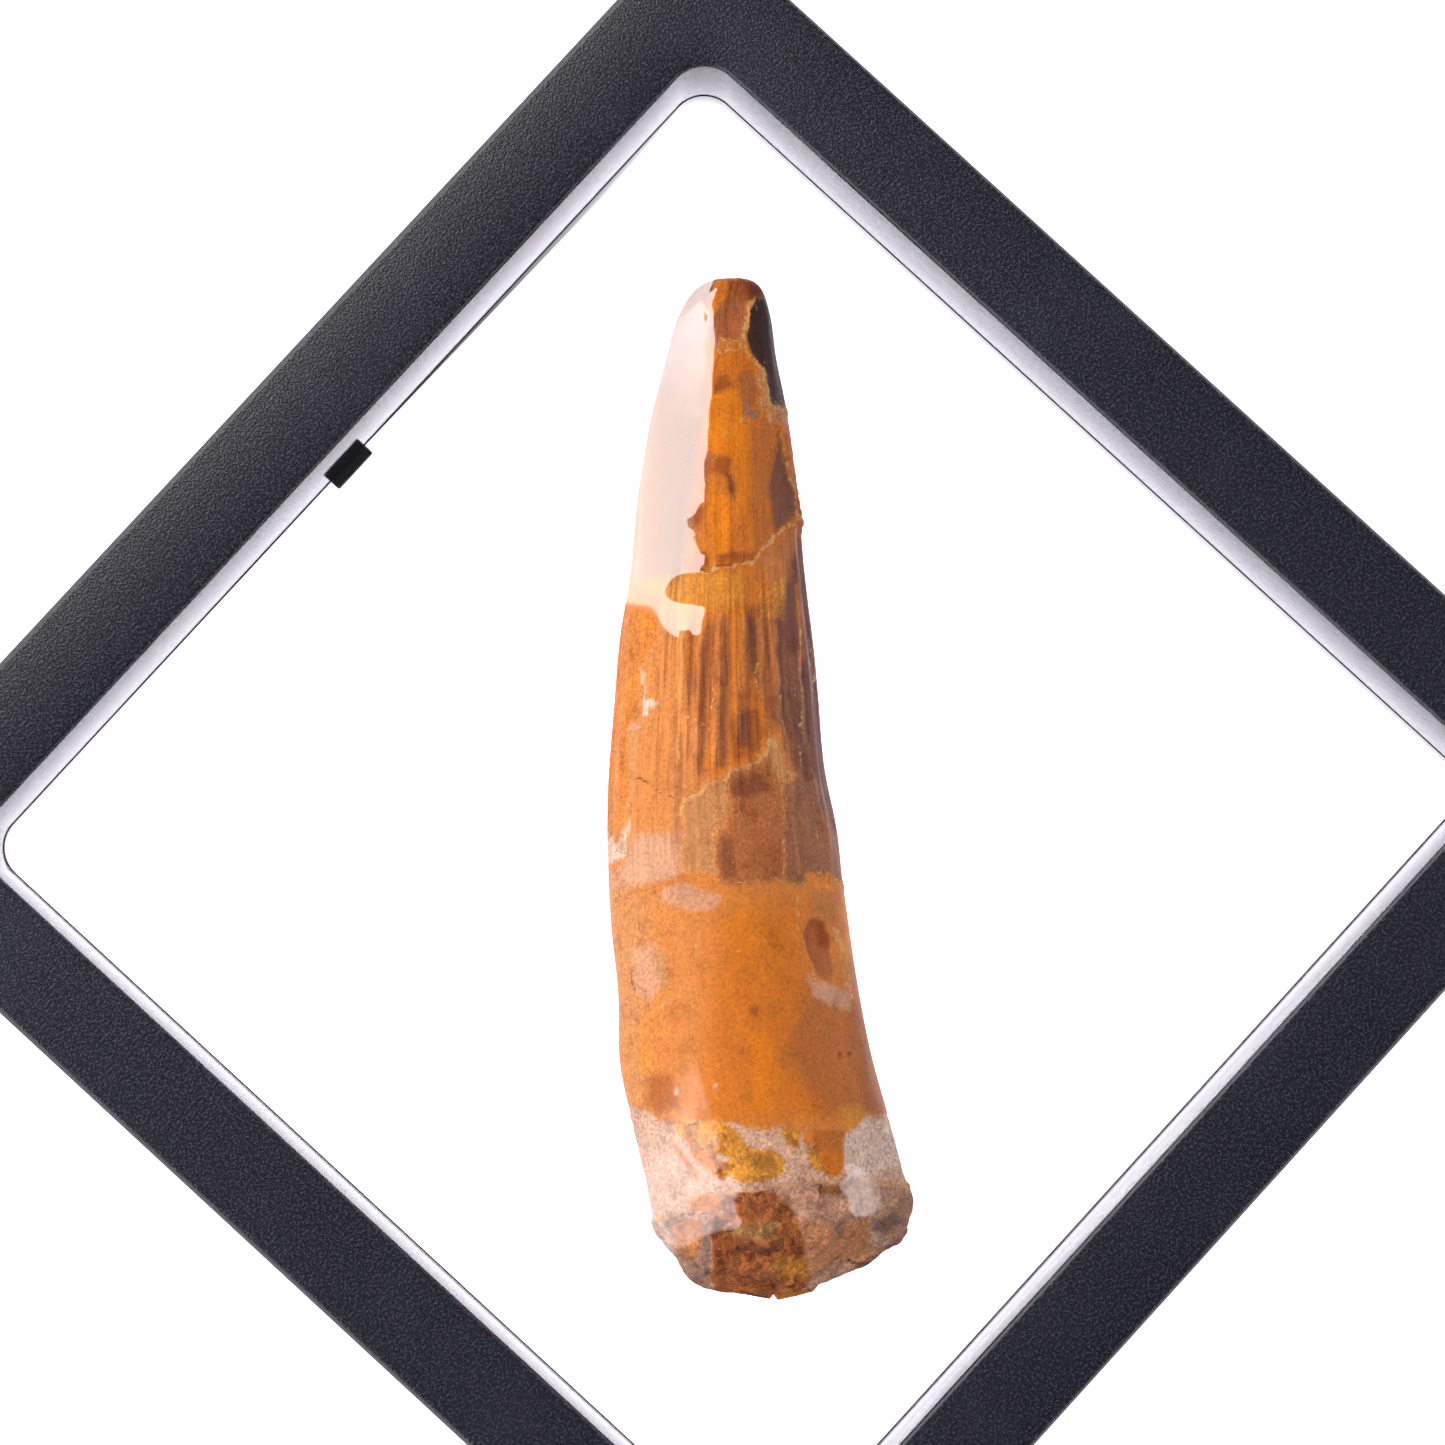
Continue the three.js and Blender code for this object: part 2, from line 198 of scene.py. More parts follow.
PALE_LINES = [
    [(45, 3.6), (43.9, 3), (42.7, 2.9), (41.6, 2.6), (40.5, 2.8), (39.5, 3.5), (38.7, 4.1), (37.6, 4.4),
        (36.5, 4.4), (35.4, 4.8), (35.5, 6.2)],
    [(6.2, 4.4), (4.1, 4.4), (3.2, 4.6), (3.2, 5.3), (3.8, 5.8), (5.1, 6)],
    [(0.6, -4.6), (-1, -4.4), (-3.2, -4.7), (-4.8, -4.5)],
    [(2.5, -8.7), (0.9, -9.2), (-1.2, -9.7)],
    [(13, -7.2), (8.9, -7.4)],
    [(-10.4, 8.5), (-13.8, 8.9), (-15.6, 9.2), (-17.4, 9.2)],
    [(-10.6, 5.6), (-12.6, 5.8), (-14.2, 6.4), (-16.6, 7.5), (-17.4, 9.2)],
]
HAIRLINES = [
    [(32.1, -1.4), (32.4, -0.7), (32.6, 0), (33.1, 0.6), (33.7, 1.4), (34.3, 2.1), (34.6, 2.8)],
    [(40.9, 0.3), (41.3, 0.5), (41.4, 1), (41, 1.2), (40.5, 1.1), (40.3, 0.8), (40.5, 0.4), (40.9, 0.3)],
    [(41, 1.2), (41.4, 1.6), (41.3, 2.2), (40.9, 2.4), (40.5, 2.1), (40.3, 1.6), (40.5, 1.1)],
    [(10, -4.4), (8.7, -4.3), (8.6, -3.6), (8.1, -2.8), (6.7, -1.6), (5.5, -0.3), (5.3, 1.1), (4.9, 2.1)],
    [(10, 4.5), (6.5, 4.4)],
    [(16.1, 6.4), (10.3, 6.2), (5.2, 6.2)],
    [(18, 7.5), (10.7, 7.4)],
    [(13, 2.5), (10.3, 2.5)],
    [(8.9, 3), (6.5, 3.2)],
    [(11, -1.5), (8.8, -1.5)],
    [(7.9, -4.9), (4.9, -4.9)],
    [(2.4, 4.2), (-5.9, 3.9)],
    [(-1.4, 7.1), (-5.2, 7.2)],
    [(17.4, -7), (15.6, -6), (14.1, -7), (13, -7.5)],
    [(-9.9, -3.5), (-11.2, -3.8)],
    [(-11.8, -4.3), (-11.6, -1.7), (-11.9, 0.3)],
    [(-10.1, 1.5), (-11.1, 2.2)],
    [(-18.2, -9.6), (-18.7, -8.5), (-18.9, -6.8)],
    [(-7.4, 5.1), (-11.3, 5.1)],
    [(-7.5, -9.5), (-9.6, -8.9), (-12.2, -9.4)],
    [(-9.8, -5.8), (-13.2, -5.2), (-15.5, -5.8)],
]
# Slits in the tooth, their shadow painted as dark chestnut lines
SLIT_SHADOW_LINES = [
    [(-12.7, -9.7), (-14, -9.7), (-15.1, -9.5)],
    [(3.6, -8.4), (2.4, -6.7), (1.4, -5.3)],
    [(21.1, -3.2), (21.2, -1.3)],
    [(21.5, -0.7), (21.6, 1.2), (22, 2.5)],
    [(-34.5, -7.4), (-34.3, -5.2), (-34.5, -3.6)],
    [(-33.2, 6.1), (-32, 6.1)],
    [(-39.1, 7), (-39.4, 9), (-38.6, 10.7), (-37.1, 12.9)],
    [(-26.7, -5.7), (-26.3, -4.3)],
]
BOLD_CRACKS = [ENAMEL_CRACK, STEPPED_CRACK, LEDGE, PALE_LINES[0]]
THIN_CRACKS = [MAIN_CRACK, CRUMB_LINE, PIT_RIM, DIAGONAL_RIDGE, *PALE_LINES[1:], *HAIRLINES]
RAISED_CRACKS = BOLD_CRACKS + THIN_CRACKS[:8]

# Flutes of the crown: strength, width and the line of the crest, with a groove on its right; the crest is
# painted light as a highlight and the groove dark as shade
FLUTES = [
    (0.8, 0.40, [(17, -3.4), (14.3, -3.8), (11.1, -4.1), (9.7, -4.3)]),
    (1, 0.32, [(17.1, -2.1), (13.9, -2.3), (11, -2.6), (8.5, -2.8), (3.5, -3.3)]),
    (1, 0.32, [(17.5, -0.5), (13.9, -0.7), (11, -0.9), (7.4, -1.3), (4, -1.5)]),
    (0.9, 0.40, [(17.3, 1.3), (13.8, 1.1), (10, 0.8), (7, 0.6)]),
    (0.7, 0.25, [(17.1, 3), (14.9, 2.9), (12, 2.8), (8.5, 3)]),
    (0.8, 0.30, [(16.7, 4.1), (13.8, 4.1), (10.9, 4.1), (7, 4.3)]),
    (0.6, 0.20, [(15.2, 4.8), (10.9, 4.8), (5.8, 5.2)]),
    (0.7, 0.15, [(19.8, 6), (16.3, 6.3), (9.4, 6.3), (5.8, 6.5), (1, 7.2)]),
    (0.5, 0.30, [(8, -4.9), (3, -5.2), (-3, -5.6)]),
    (0.5, 0.20, [(3, 4.9), (-1, 5.1), (-5.6, 5.3)]),
    (0.5, 0.20, [(2, 7.9), (-2, 8.1), (-5.6, 8.2)]),
]


def length_setting(name, description, millimetres):
    """Setting for a length, its default given in millimetres."""
    return bpy.props.FloatProperty(
        name=name, description=description, default=millimetres * MM, unit="LENGTH", precision=5)


def brightness_setting(name, description, radiance, most=10):
    return bpy.props.FloatProperty(name=name, description=description, default=radiance, min=0, max=most)


def count_setting(name, description, number, least, most):
    return bpy.props.IntProperty(name=name, description=description, default=number, min=least, max=most)


class FrameSettings(bpy.types.PropertyGroup):
    """Sizes and colour of the two plastic halves."""

    border: length_setting("Border", "Width of the square face round the opening", 8.5)
    wall: length_setting("Wall", "Thickness of the moulded walls", 1.6)
    draft: length_setting("Draft", "How far the inner wall leans over one half", 0.545)
    outer_corner: length_setting("Outer corner", "Radius of the frame's outer corners", 6)
    inner_corner: length_setting("Inner corner", "Radius of the opening's corners", 3.2)
    face_fillet: length_setting("Face fillet", "Rounding of the face's outer edge", 0.6)
    ledge: length_setting("Ledge", "How far the back half's rim stands in front of the other one's", 0.05)
    opening_fillet: length_setting("Opening fillet", "Rounding of the opening's edge", 0.45)
    plastic: bpy.props.FloatVectorProperty(
        name="Plastic", description="Colour of the black plastic", default=colour(8, 8, 18)[:3],
        subtype="COLOR", size=3, min=0, max=1)


class FilmSettings(bpy.types.PropertyGroup):
    """Sizes of the two stretched films."""

    rim: length_setting("Rim", "Half width of a film, out to the edge that is clamped", 47)
    free: length_setting("Free", "Half width of the part that can stretch", 44.8)
    thickness: length_setting("Thickness", "Thickness of the film", 0.05)
    clearance: length_setting("Clearance", "Room between the film and the tooth", 0.06)
    cells: count_setting("Cells", "Cells of the film along one side", 200, 20, 240)


class ToothSettings(bpy.types.PropertyGroup):
    """Fineness and relief of the tooth."""

    around: count_setting("Around", "Faces round the tooth", 270, 32, 300)
    lengthwise: count_setting("Lengthwise", "Faces from tip to base", 356, 32, 400)
    flutes: count_setting("Flutes", "Broad ridges round the crown", 14, 4, 40)
    flute_height: length_setting("Flute height", "Height of the broad ridges", 0.16)


class StageSettings(bpy.types.PropertyGroup):
    """Brightness of the floor, the room and the lights."""

    floor_glow: brightness_setting("Floor glow", "Brightness of the white floor", 2.3)
    horizon: brightness_setting("Horizon", "Brightness of the white room low round the frame", 3.4)
    overhead: brightness_setting("Overhead", "Brightness of the dim room above the frame", 0.13)
    softbox: brightness_setting("Softbox", "Brightness of the large softbox", 7.6, 100)
    side_light: brightness_setting("Side light", "Brightness of the low light on the left", 5, 100)


# Shader nodes

class Shader:
    """Nodes of a material or a world, with a short call for each kind that is used."""

    def __init__(self, owner):
        self.owner = owner
        owner.use_nodes = True
        self.tree = owner.node_tree
        self.tree.nodes.clear()

    def node(self, kind, inputs=None, **settings):
        made = self.tree.nodes.new(kind)
        for name, value in settings.items():
            setattr(made, name, value)
        for name, value in (inputs or {}).items():
            socket = made.inputs[name]
            if isinstance(value, bpy.types.NodeSocket):
                self.tree.links.new(value, socket)
            else:
                socket.default_value = value
        return made.outputs

    def place(self):
        """Place on the object in millimetres."""
        coordinates = self.node("ShaderNodeTexCoord")["Object"]
        return self.node("ShaderNodeMapping", {"Vector": coordinates, "Scale": (1 / MM,) * 3})["Vector"]

    def skin(self, stretch):
        """Place on the tooth's unrolled skin in millimetres."""
        spread = self.node("ShaderNodeAttribute", attribute_name="skin")["Vector"]
        return self.node("ShaderNodeMapping", {"Vector": spread, "Scale": stretch})["Vector"]

    def stored(self, name, output="Fac"):
        """Number or colour kept on the mesh."""
        return self.node("ShaderNodeAttribute", attribute_name=name)[output]

    def clouds(self, place, scale, detail, roughness):
        return self.node("ShaderNodeTexNoise", {
            "Vector": place, "Scale": scale, "Detail": detail, "Roughness": roughness})["Fac"]

    def math(self, operation, first, second):
        return self.node("ShaderNodeMath", {0: first, 1: second}, operation=operation)[0]

    def times(self, first, second):
        return self.math("MULTIPLY", first, second)

    def plus(self, first, second):
        return self.math("ADD", first, second)

    def step(self, value, low, high, start=0.0, end=1.0):
        """Smooth change from start to end while the value goes from low to high."""
        return self.node("ShaderNodeMapRange", {
            "Value": value, "From Min": low, "From Max": high, "To Min": start, "To Max": end},
            interpolation_type="SMOOTHSTEP")["Result"]

    def mix(self, amount, first, second, blend="MIX"):
        inputs = {0: amount, 6: first, 7: second}
        return self.node("ShaderNodeMix", inputs, data_type="RGBA", blend_type=blend)[2]

    def bump(self, height, distance):
        inputs = {"Height": height, "Distance": distance, "Strength": 1.0}
        return self.node("ShaderNodeBump", inputs)["Normal"]

    def finish(self, **sockets):
        inputs = {name.replace("_", " "): value for name, value in sockets.items()}
        surface = self.node("ShaderNodeBsdfPrincipled", inputs)["BSDF"]
        self.node("ShaderNodeOutputMaterial", {"Surface": surface})
        return self.owner


def black_plastic(settings):
    """Black plastic: faces with a fine grain, glints painted on that grain and some smudges, walls smooth
    from the mould.
    """
    shader = Shader(bpy.data.materials.new("black_plastic"))
    place = shader.place()
    face = shader.step(shader.stored("facing"), 0.5, 0.97)
    grain = shader.clouds(place, scale=4.5, detail=1.0, roughness=0.7)
    smudge = shader.step(shader.clouds(place, scale=0.09, detail=2.0, roughness=0.65), 0.5, 0.72)
    body = shader.mix(shader.times(smudge, face), (*settings.plastic, 1.0), SMUDGE)
    # Glints painted on the face's grain as a lighter colour
    painted_glints = shader.times(shader.step(grain, 0.44, 0.72), face)
    return shader.finish(
        Base_Color=shader.mix(painted_glints, body, PAINTED_GLINT),
        Roughness=shader.step(face, 0.0, 1.0, 0.1, 0.34),
        IOR=1.5,
        Specular_IOR_Level=0.4,
        Normal=shader.bump(shader.times(grain, face), 0.05 * MM),
    )


def clear_film():
    """Clear stretched film, a little wavy."""
    shader = Shader(bpy.data.materials.new("clear_film"))
    waves = shader.clouds(shader.place(), scale=0.12, detail=0.0, roughness=0.5)
    return shader.finish(
        Base_Color=(0.98, 0.985, 0.99, 1), Roughness=0.02, IOR=1.46, Transmission_Weight=1.0,
        Normal=shader.bump(waves, 0.03 * MM))


def fossil():
    """Enamel, dentine and sandstone: the painted tint with fibres, clouds, grain, crystals and cracks."""
    shader = Shader(bpy.data.materials.new("fossil_tooth"))
    place = shader.place()
    stone = shader.stored("stone")
    grainy = shader.stored("grainy")
    streaky = shader.stored("streaky")
    fibre = shader.clouds(shader.skin((0.045, 1, 1)), scale=2.4, detail=3.0, roughness=0.7)
    cloud = shader.clouds(place, scale=0.5, detail=4.0, roughness=0.72)
    grain = shader.clouds(place, scale=3.6, detail=1.5, roughness=0.7)
    crystals = shader.node("ShaderNodeTexVoronoi", {"Vector": place, "Scale": 1.5})
    tone = shader.node("ShaderNodeSeparateColor", {"Color": crystals["Color"]})["Red"]

    # Each texture darkens the tint where it is high and lightens it where it is low
    worked = shader.stored("tint", "Color")
    fine = shader.plus(0.42, shader.times(grainy, 0.58))
    for texture, reach, strength in ((fibre, 0.14, streaky), (cloud, 0.18, fine), (grain, 0.16, fine)):
        for middle, far, shade in ((0.51, 0.51 + reach, DARKER), (0.48, 0.48 - reach, LIGHTER)):
            amount = shader.times(shader.step(texture, middle, far), strength)
            worked = shader.mix(amount, worked, shade, "MULTIPLY")
    for middle, far, shade in ((0.45, 0.0, DARKER), (0.55, 1.0, LIGHTER)):
        worked = shader.mix(shader.times(shader.step(tone, middle, far), stone), worked, shade, "MULTIPLY")
    fleck = shader.plus(grain, shader.times(grainy, 0.1))
    worked = shader.mix(shader.step(fleck, 0.7, 0.8, 0.0, 0.7), worked, PALE_LINE)

    # Cracks, their edges made ragged by a noise
    ragged = shader.clouds(place, scale=2.2, detail=2.0, roughness=0.7)
    jag = shader.times(shader.math("SUBTRACT", ragged, 0.5), 0.7)
    bold = shader.step(shader.plus(shader.stored("bold_crack"), jag), 0.2, 0.04, 0.0, 0.85)
    worked = shader.mix(bold, worked, PALE_LINE)
    thin = shader.step(shader.plus(shader.stored("thin_crack"), jag), 0.12, 0.0)
    worked = shader.mix(shader.times(thin, shader.step(cloud, 0.38, 0.58, 0.05, 0.8)), worked, PALE_LINE)
    # Shadow painted dark along the slits
    slit_shadow = shader.step(shader.plus(shader.stored("slit_shadow"), shader.times(jag, 0.5)), 0.14, 0.03, 0.0, 0.75)
    worked = shader.mix(slit_shadow, worked, CHESTNUT)

    facets = shader.times(shader.math("SUBTRACT", 1.0, crystals["Distance"]), stone)
    height = shader.plus(shader.times(grain, fine), shader.times(facets, 1.2))
    height = shader.plus(height, shader.times(shader.times(fibre, streaky), 0.8))
    return shader.finish(
        Base_Color=worked,
        Roughness=0.5,
        IOR=1.5,
        Specular_IOR_Level=0.15,
        Normal=shader.bump(height, 0.12 * MM),
    )


def plain_light(name, tint, strength):
    shader = Shader(bpy.data.materials.new(name))
    glow = shader.node("ShaderNodeEmission", {"Color": tint, "Strength": strength})["Emission"]
    shader.node("ShaderNodeOutputMaterial", {"Surface": glow})
    return shader.owner


# Making pieces

SMOOTH_ANGLE = math.radians(35)


def new_piece(name, bm, material):
    """Object from a bmesh, smooth but for its sharper edges."""
    bm.normal_update()
    for face in bm.faces:
        face.smooth = True
    for edge in bm.edges:
        edge.smooth = edge.calc_face_angle(0.0) < SMOOTH_ANGLE
    mesh = bpy.data.meshes.new(name)
    bm.to_mesh(mesh)
    bm.free()
    mesh.materials.append(material)
    piece = bpy.data.objects.new(name, mesh)
    bpy.context.scene.collection.objects.link(piece)
    return piece


def settle_on(piece, body, node):
    """The piece moves with its body and stands for its CAD node."""
    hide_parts(node)
    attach(piece, body)


def vectors(items, field):
    """Three numbers of each vertex or face, such as its place or its normal, as rows."""
    flat = np.zeros(len(items) * 3)
    items.foreach_get(field, flat)
    return flat.reshape(-1, 3)


def put_coordinates(mesh, points):
    mesh.vertices.foreach_set("co", points.astype(np.float32).ravel())
    mesh.update()


def store(mesh, name, values, domain="POINT"):
    """Keeps one number, or one vector or colour, for each vertex or each face."""
    kinds = {1: ("FLOAT", "value"), 3: ("FLOAT_VECTOR", "vector"), 4: ("FLOAT_COLOR", "color")}
    kind, field = kinds[1 if values.ndim == 1 else values.shape[1]]
    attribute = mesh.attributes.new(name, kind, domain)
    attribute.data.foreach_set(field, values.astype(np.float32).ravel())


# Frame halves

CORNER_STEPS = 12
ROUNDING_STEPS = 5
RIM_GAP = 0.07 * MM
INNER_RIM_GAP = 0.18 * MM


def corner_at(settings, inset):
    """Corner radius of the square at an inset from the outer face, and how far its middle lies out."""
    share = inset / settings.border
    radius = settings.outer_corner + (settings.inner_corner - settings.outer_corner) * share
    return radius, SIDE / 2 - inset - radius


def first_ring(bm, settings, height):
    """Level square with round corners, as edges."""
    place = Matrix.Translation((0, MIDDLE.y, height))
    corners = bmesh.ops.create_grid(
        bm, x_segments=1, y_segments=1, size=SIDE / 2, matrix=place)["verts"]
    bmesh.ops.bevel(
        bm, geom=corners, offset=settings.outer_corner, segments=CORNER_STEPS, profile=0.5,
        affect="VERTICES", material=-1)
    bmesh.ops.delete(bm, geom=list(bm.faces), context="FACES_ONLY")
    return list(bm.verts)


def ring_edges(ring):
    members = set(ring)
    return list({edge for vert in ring for edge in vert.link_edges if edge.other_vert(vert) in members})


def next_ring(bm, settings, ring, inset, following_inset, height):
    """Ring extruded from another one and moved to its own inset and height."""
    grown = bmesh.ops.extrude_edge_only(bm, edges=ring_edges(ring))["geom"]
    fresh = [part for part in grown if isinstance(part, bmesh.types.BMVert)]
    radius, middle = corner_at(settings, inset)
    following_radius, following_middle = corner_at(settings, following_inset)
    for vert in fresh:
        for axis, centre in ((0, 0.0), (1, MIDDLE.y)):
            away = vert.co[axis] - centre
            turned = (abs(away) - middle) / radius
            vert.co[axis] = centre + math.copysign(following_middle + following_radius * turned, away)
        vert.co.z = height
    return fresh


def frame_half(settings, is_front):
    """Hollow moulding of one half, its edges rounded, without hinge and latch."""
    outer_rim = DEPTH / 2 - RIM_GAP
    inner_rim = DEPTH / 2 - INNER_RIM_GAP
    inner_wall = settings.border - settings.wall + settings.draft / 2
    rim = settings.border + settings.draft + (0 if is_front else settings.ledge)

    # Inset from the outer face, height and rounding of each edge
    section = [
        (0, 0, settings.face_fillet),
        (0, outer_rim, 0.3 * MM),
        (settings.wall, outer_rim, 0.15 * MM),
        (settings.wall, settings.wall, 0.5 * MM),
        (inner_wall, settings.wall, 0.5 * MM),
        (inner_wall + settings.draft, inner_rim, 0.12 * MM),
        (rim, inner_rim, 0.12 * MM if is_front else 0.04 * MM),
        (settings.border, 0, settings.opening_fillet),
    ]
    levels = [DEPTH - height if is_front else height for _, height, _ in section]
    bm = bmesh.new()
    rings = [first_ring(bm, settings, levels[0])]
    insets = [inset for inset, _, _ in section]
    for place, following in enumerate([*range(1, len(section)), 0]):
        rings.append(next_ring(bm, settings, rings[-1], insets[place], insets[following], levels[following]))
    closing = rings.pop()
    pairs = {vert: min(rings[0], key=lambda other: (other.co - vert.co).length) for vert in closing}
    bmesh.ops.weld_verts(bm, targetmap=pairs)
    for ring, (_, _, rounding) in zip(rings, section):
        bmesh.ops.bevel(
            bm, geom=ring_edges(ring), offset=rounding, segments=ROUNDING_STEPS, profile=0.5, affect="EDGES",
            material=-1)
    bmesh.ops.recalc_face_normals(bm, faces=bm.faces)
    return bm


# Hinges, in millimetres: a knuckle of the front half turns on a peg between two lugs of the back half
HINGE_PLACES = (-38, 38)
HINGE_RADIUS = 1.6
HINGE_GAP = 0.3
HINGE_ROUNDING = 0.15
PEG_RADIUS = 0.8
PEG_HOLE_RADIUS = 0.95
LUG_LENGTH = 3
KNUCKLE_LENGTH = 4
LUG_OFFSET = (KNUCKLE_LENGTH + LUG_LENGTH) / 2 + HINGE_GAP
LUG_PLACES = [place + side * LUG_OFFSET for place in HINGE_PLACES for side in (-1, 1)]
PEG_LENGTH = KNUCKLE_LENGTH + LUG_LENGTH

# Latch and tab, in millimetres from the middle of the frame's back: low and high corner of each block
LATCH_RECESS = ((-4.3, 53.1, 7.5), (4.3, 53.95, 8.9))
TAB = ((-2.2, 44.95, 9.02), (2.2, 46.75, 9.82))
TAB_ROUNDING = 0.2
TONGUE = [
    ((-4, 52.2, 7), (4, 53.1, 19.2)),
    ((-4, 52.2, 12), (4, 54.2, 19.2)),
    ((-4, 52.8, 7.8), (4, 53.65, 8.6)),
]
TONGUE_ROUNDING = 0.12
SHARP_ANGLE = math.radians(30)


def rounded(bm, rounding):
    """Rounds every sharp edge by a radius in millimetres."""
    sharp = [edge for edge in bm.edges if edge.calc_face_angle(0) > SHARP_ANGLE]
    if rounding:
        bmesh.ops.bevel(
            bm, geom=sharp, offset=rounding * MM, segments=3, profile=0.5, affect="EDGES", material=-1,
            clamp_overlap=True)
    return bm


def hinge_bars(operation, radius, length, places, rounding=0):
    """Round bars along the hinge line, in millimetres, each with what it does to the frame."""
    steps = []
    for place in places:
        bm = bmesh.new()
        middle = Matrix.Translation(HINGE_LINE + Vector((place * MM, 0, 0)))
        bmesh.ops.create_cone(
            bm, cap_ends=True, segments=48, radius1=radius * MM, radius2=radius * MM, depth=length * MM,
            matrix=middle @ Matrix.Rotation(math.pi / 2, 4, "Y"))
        steps.append((operation, rounded(bm, rounding)))
    return steps


def block(low, high, rounding=0):
    """Box between two corners, in millimetres from the middle of the frame's back."""
    bm = bmesh.new()
    low = Vector(low) * MM + MIDDLE.xy.to_3d()
    high = Vector(high) * MM + MIDDLE.xy.to_3d()
    bmesh.ops.create_cube(
        bm, size=1, matrix=Matrix.Translation((low + high) / 2) @ Matrix.Diagonal((*(high - low), 1)))
    return rounded(bm, rounding)


def back_details():
    """What is cut from the back half and what is joined to it, in order."""
    return [
        *hinge_bars("DIFFERENCE", HINGE_RADIUS + HINGE_GAP, KNUCKLE_LENGTH + HINGE_GAP, HINGE_PLACES),
        *hinge_bars("UNION", HINGE_RADIUS, LUG_LENGTH, LUG_PLACES, HINGE_ROUNDING),
        *hinge_bars("UNION", PEG_RADIUS, PEG_LENGTH, HINGE_PLACES),
        ("DIFFERENCE", block(*LATCH_RECESS)),
        ("UNION", block(*TAB, TAB_ROUNDING)),
    ]


def front_details():
    """What is cut from the front half and what is joined to it, in order."""
    return [
        *hinge_bars("DIFFERENCE", HINGE_RADIUS + HINGE_GAP, LUG_LENGTH + HINGE_GAP, LUG_PLACES),
        *hinge_bars("UNION", HINGE_RADIUS, KNUCKLE_LENGTH, HINGE_PLACES, HINGE_ROUNDING),
        *hinge_bars("DIFFERENCE", PEG_HOLE_RADIUS, PEG_LENGTH, HINGE_PLACES),
        *(("UNION", block(*corners, TONGUE_ROUNDING)) for corners in TONGUE),
    ]


def combine(piece, steps):
    """Cuts and joins solids on a piece and keeps only the result."""
    for operation, bm in steps:
        tool = new_piece("tool", bm, piece.data.materials[0])
        change = piece.modifiers.new("Join", "BOOLEAN")
        change.operation = operation
        change.object = tool
        change.solver = "EXACT"
        finished = piece.evaluated_get(bpy.context.evaluated_depsgraph_get())
        shaped = bpy.data.meshes.new_from_object(finished)
        piece.modifiers.remove(change)
        spare = piece.data
        shaped.name = spare.name
        piece.data = shaped
        bpy.data.meshes.remove(spare)
        bpy.data.meshes.remove(tool.data)


class FOSSIL_OT_frame_halves(bpy.types.Operator):
    """Black plastic front and back half with their hinges and latch"""

    bl_idname = "fossil.frame_halves"
    bl_label = "Frame halves"

    def execute(self, context):
        settings = context.scene.fossil_frame
        plastic = black_plastic(settings)
        for side, is_front, details in (("back", False, back_details()), ("front", True, front_details())):
            half = new_piece(f"{side}_half_moulding", frame_half(settings, is_front), plastic)
            combine(half, details)
            store(half.data, "facing", np.abs(vectors(half.data.polygons, "normal")[:, 2]), "FACE")
            settle_on(half, f"{side}_half", f"{side}_frame")
        return {"FINISHED"}


# Tooth

OUTLINE_SAMPLES = 4000

# Well past the tooth's sides and its base, in millimetres
PAST_SIDE = 30
PAST_BASE = -80


def curve_through(rows, places):
    """Smooth curve through a table's rows, read at places counted in rows."""
    padded = np.vstack([2 * rows[0] - rows[1], rows, 2 * rows[-1] - rows[-2]])
    start = np.clip(places.astype(int), 0, len(rows) - 2)
    t = (places - start)[:, None]
    a, b, c, d = (padded[start + offset] for offset in range(4))
    return 0.5 * (2 * b + (c - a) * t + (2 * a - 5 * b + 4 * c - d) * t**2 + (3 * b - a - 3 * c + d) * t**3)


def even_places(rows, share):
    """Places in rows that divide the tooth's outline evenly; the share is 0 at the tip and 1 at the base."""
    places = np.linspace(0, len(rows) - 1, OUTLINE_SAMPLES)
    along, left, right, _ = curve_through(rows, places).T
    steps = np.hypot(np.diff(along), np.diff((right - left) / 2))
    travelled = np.concatenate([[0], np.cumsum(steps)])
    return np.interp(share * travelled[-1], travelled, places)


def line_distance(points, along, across):
    """Distance in millimetres to a line through points."""
    nearest = np.full(len(along), 1e9)
    for (u0, v0), (u1, v1) in zip(points, points[1:]):
        length = (u1 - u0) ** 2 + (v1 - v0) ** 2
        t = np.clip(((along - u0) * (u1 - u0) + (across - v0) * (v1 - v0)) / length, 0, 1)
        nearest = np.minimum(nearest, np.hypot(along - u0 - t * (u1 - u0), across - v0 - t * (v1 - v0)))
    return nearest


def nearest_line(lines, along, across):
    """Distance in millimetres to the nearest of some lines."""
    return np.min([line_distance(line, along, across) for line in lines], axis=0)


def beside(lines, along, across, width):
    """How close each point is to some lines, 1 on a line and fading over the width."""
    return np.exp(-(nearest_line(lines, along, across) / width) ** 2)


def depth_inside(outline, along, across):
    """Distance in millimetres to an outline, positive inside it."""
    inside = np.zeros(len(along), bool)
    closed = [*outline, outline[0]]
    for (u0, v0), (u1, v1) in zip(closed, closed[1:]):
        if v0 != v1:
            crosses = (v0 > across) != (v1 > across)
            inside ^= crosses & (along < u0 + (across - v0) * (u1 - u0) / (v1 - v0))
    distance = line_distance(closed, along, across)
    return np.where(inside, distance, -distance)


def below(line):
    """Outline of everything on the base side of a line that crosses the tooth."""
    first, last = line[0][0], line[-1][0]
    return [(first, -PAST_SIDE), *line, (last, PAST_SIDE), (PAST_BASE, PAST_SIDE), (PAST_BASE, -PAST_SIDE)]


def smooth_step(values, low, high):
    t = np.clip((values - low) / (high - low), 0, 1)
    return t * t * (3 - 2 * t)


def within(outline, softness, along, across):
    """How far each point is inside an outline, from 0 to 1 over its soft edge."""
    return smooth_step(depth_inside(outline, along, across), -softness, softness)


# How far the noise moves along each axis from one seed to the next
SEED_STEPS = (17.3, 5.1, 9.7)


def wander(places, scale, seed, octaves=4):
    """Even noise from about -1 to 1 at each place."""
    shift = Vector([seed * step for step in SEED_STEPS])
    return np.array([noise.fractal(Vector(p) * scale + shift, 1.0, 2.0, octaves) for p in places])


